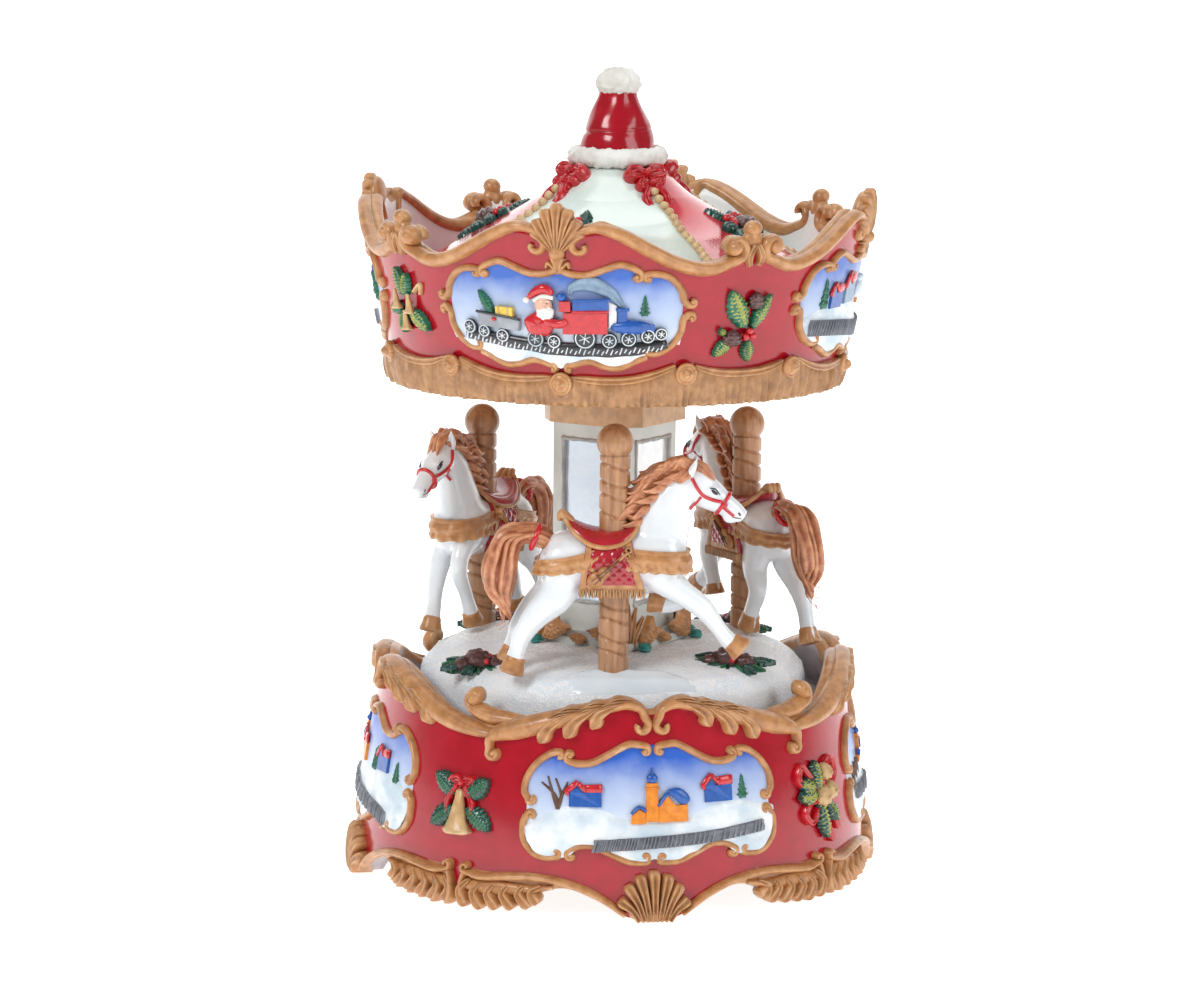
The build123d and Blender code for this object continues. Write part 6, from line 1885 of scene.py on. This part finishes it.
# ---------------------------------------------------------------- mirror surrounds
surrounds = Piece("mirror_surrounds")
MIRROR_HALF, MIRROR_LOW, MIRROR_HIGH, FACE_REACH = 6.55, 57.8, 92.2, 9.55
for side in range(SIDES):
    azimuth = COLUMN_YAW + 45 + 90 * side
    turn = radians(azimuth)
    at = tilted_frame(round_z(FACE_REACH, azimuth, 0), (cos(turn), sin(turn), 0), (0, 0, 1))
    corners = [(-MIRROR_HALF, MIRROR_LOW), (MIRROR_HALF, MIRROR_LOW), (MIRROR_HALF, MIRROR_HIGH),
               (-MIRROR_HALF, MIRROR_HIGH)]
    for start, stop in zip(corners, corners[1:] + corners[:1]):
        steps = 26
        edge = []
        for i in range(steps + 1):
            t = i / steps
            painted_shading_and_wear = 0.06 * sin(17 * t + azimuth) + 0.05 * sin(41 * t)
            edge.append((start[0] + (stop[0] - start[0]) * t, start[1] + (stop[1] - start[1]) * t,
                         0.42 + painted_shading_and_wear, 0.34 + painted_shading_and_wear))
        stroke(surrounds, edge, "silver", at, steps=2)
    for u, z in corners:
        dome(surrounds, (u, z, 0.1), (0.62, 0.62, 0.42), "silver", at, 5, 10)
surrounds.done("carousel")

# ---------------------------------------------------------------- finishes of the carried-over solids
def coat(node, finish):
    """Gives every material slot of a carried-over node one finish."""
    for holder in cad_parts[node].material_slots:
        holder.material = MAT[finish]


FINISH = {
    "brass": ("shaft_bush", "winding_key", "crown_gear", "cylinder_pinion", "music_cylinder",
              "governor_wheel"),
    "steel": ("cover_screws", "bedplate_screws", "spring_housing", "winding_arbor", "cylinder_arbor",
              "governor_worm", "comb_screws", "carousel_shaft", "roof_nut"),
    "zinc": ("movement_bedplate", "governor_bracket", "cylinder_bearing_inner", "cylinder_bearing_outer"),
    "comb_steel": ("comb",), "blued": ("mainspring",), "plastic": ("governor_vanes",),
    "board": ("bottom_cover",), "column": ("column",), "gold": ("column_cornice",),
    "mirror_pale": ("mirror_1", "mirror_2", "mirror_3", "mirror_4"),
}
for finish, nodes in FINISH.items():
    for node in nodes:
        coat(node, finish)
# painted reflection: a mirror whose centre is left of the middle at rest gets a bluer copy of the mirror
# colour
for node in FINISH["mirror_pale"]:
    low, high = box_mm(node)
    if low[0] + high[0] < 0:
        coat(node, "mirror_painted_blue_reflection")


# ---------------------------------------------------------------- floor, light and camera
WORLD_STRENGTH, FLOOR_GLOW, FLOOR_HEIGHT = 0.24, 0.8, -0.05
world = bpy.data.worlds.new("studio")
bpy.context.scene.world = world
world.use_nodes = True
world.node_tree.nodes["Background"].inputs["Color"].default_value = (1, 1, 1, 1)
world.node_tree.nodes["Background"].inputs["Strength"].default_value = WORLD_STRENGTH

floor = Piece("floor")
FLOOR_WIDE, FLOOR_NEAR, SWEEP_START, SWEEP_RADIUS, WALL_TOP = 3000.0, -3000.0, 1400.0, 500.0, 2600.0
line = [(y, FLOOR_HEIGHT) for y in np.linspace(FLOOR_NEAR, SWEEP_START, 12)]
line += [(SWEEP_START + SWEEP_RADIUS * sin(a), FLOOR_HEIGHT + SWEEP_RADIUS * (1 - cos(a)))
         for a in np.linspace(0.1, pi / 2, 14)]
line += [(SWEEP_START + SWEEP_RADIUS, z) for z in np.linspace(SWEEP_RADIUS + 200, WALL_TOP, 6)]
floor.grid([[(x, y, z) for x in np.linspace(-FLOOR_WIDE, FLOOR_WIDE, 9)] for y, z in line], "floor")
floor_object = bpy.data.objects.new("floor", floor.mesh())
show(floor_object)
floor_paint = MAT["floor"].node_tree.nodes["Principled BSDF"]
floor_paint.inputs["Emission Color"].default_value = (1, 1, 1, 1)
floor_paint.inputs["Emission Strength"].default_value = FLOOR_GLOW
MAT["floor"].cycles.emission_sampling = "NONE"


def lamp(name, place, size, power):
    """Area lamp aimed at the middle of the object."""
    data = bpy.data.lights.new(name, "AREA")
    data.size = size
    data.energy = power
    made = bpy.data.objects.new(name, data)
    made.location = place
    made.rotation_euler = (Vector((0, 0, 0.085)) - Vector(place)).to_track_quat("-Z", "Y").to_euler()
    show(made)


lamp("key_light", (-0.75, -0.85, 0.95), 0.5, 9.0)
lamp("fill_light", (0.85, -0.65, 0.55), 0.6, 4.0)
lamp("top_light", (0.0, 0.25, 1.2), 0.8, 4.5)

EYE = (-2.99, -1046.9, 240.7)       # in millimetres, as AIM
AIM = (-2.99, 0.0, 78.35)
ROLL = 0.55           # degrees
LENS = 150.2          # focal length for a 36 mm sensor
back = (Vector(EYE) - Vector(AIM)).normalized()
right = Vector((0, 0, 1)).cross(back).normalized()
up = back.cross(right)
rolled_right = right * cos(radians(ROLL)) + up * sin(radians(ROLL))
rolled_up = up * cos(radians(ROLL)) - right * sin(radians(ROLL))
camera_data = bpy.data.cameras.new("camera")
camera_data.sensor_width = 36.0
camera_data.lens = LENS
camera = bpy.data.objects.new("camera", camera_data)
camera.matrix_world = Matrix(((rolled_right.x, rolled_up.x, back.x, EYE[0] * MM),
                              (rolled_right.y, rolled_up.y, back.y, EYE[1] * MM),
                              (rolled_right.z, rolled_up.z, back.z, EYE[2] * MM), (0, 0, 0, 1)))
show(camera)
bpy.context.scene.camera = camera
bpy.context.scene.view_settings.view_transform = "Standard"
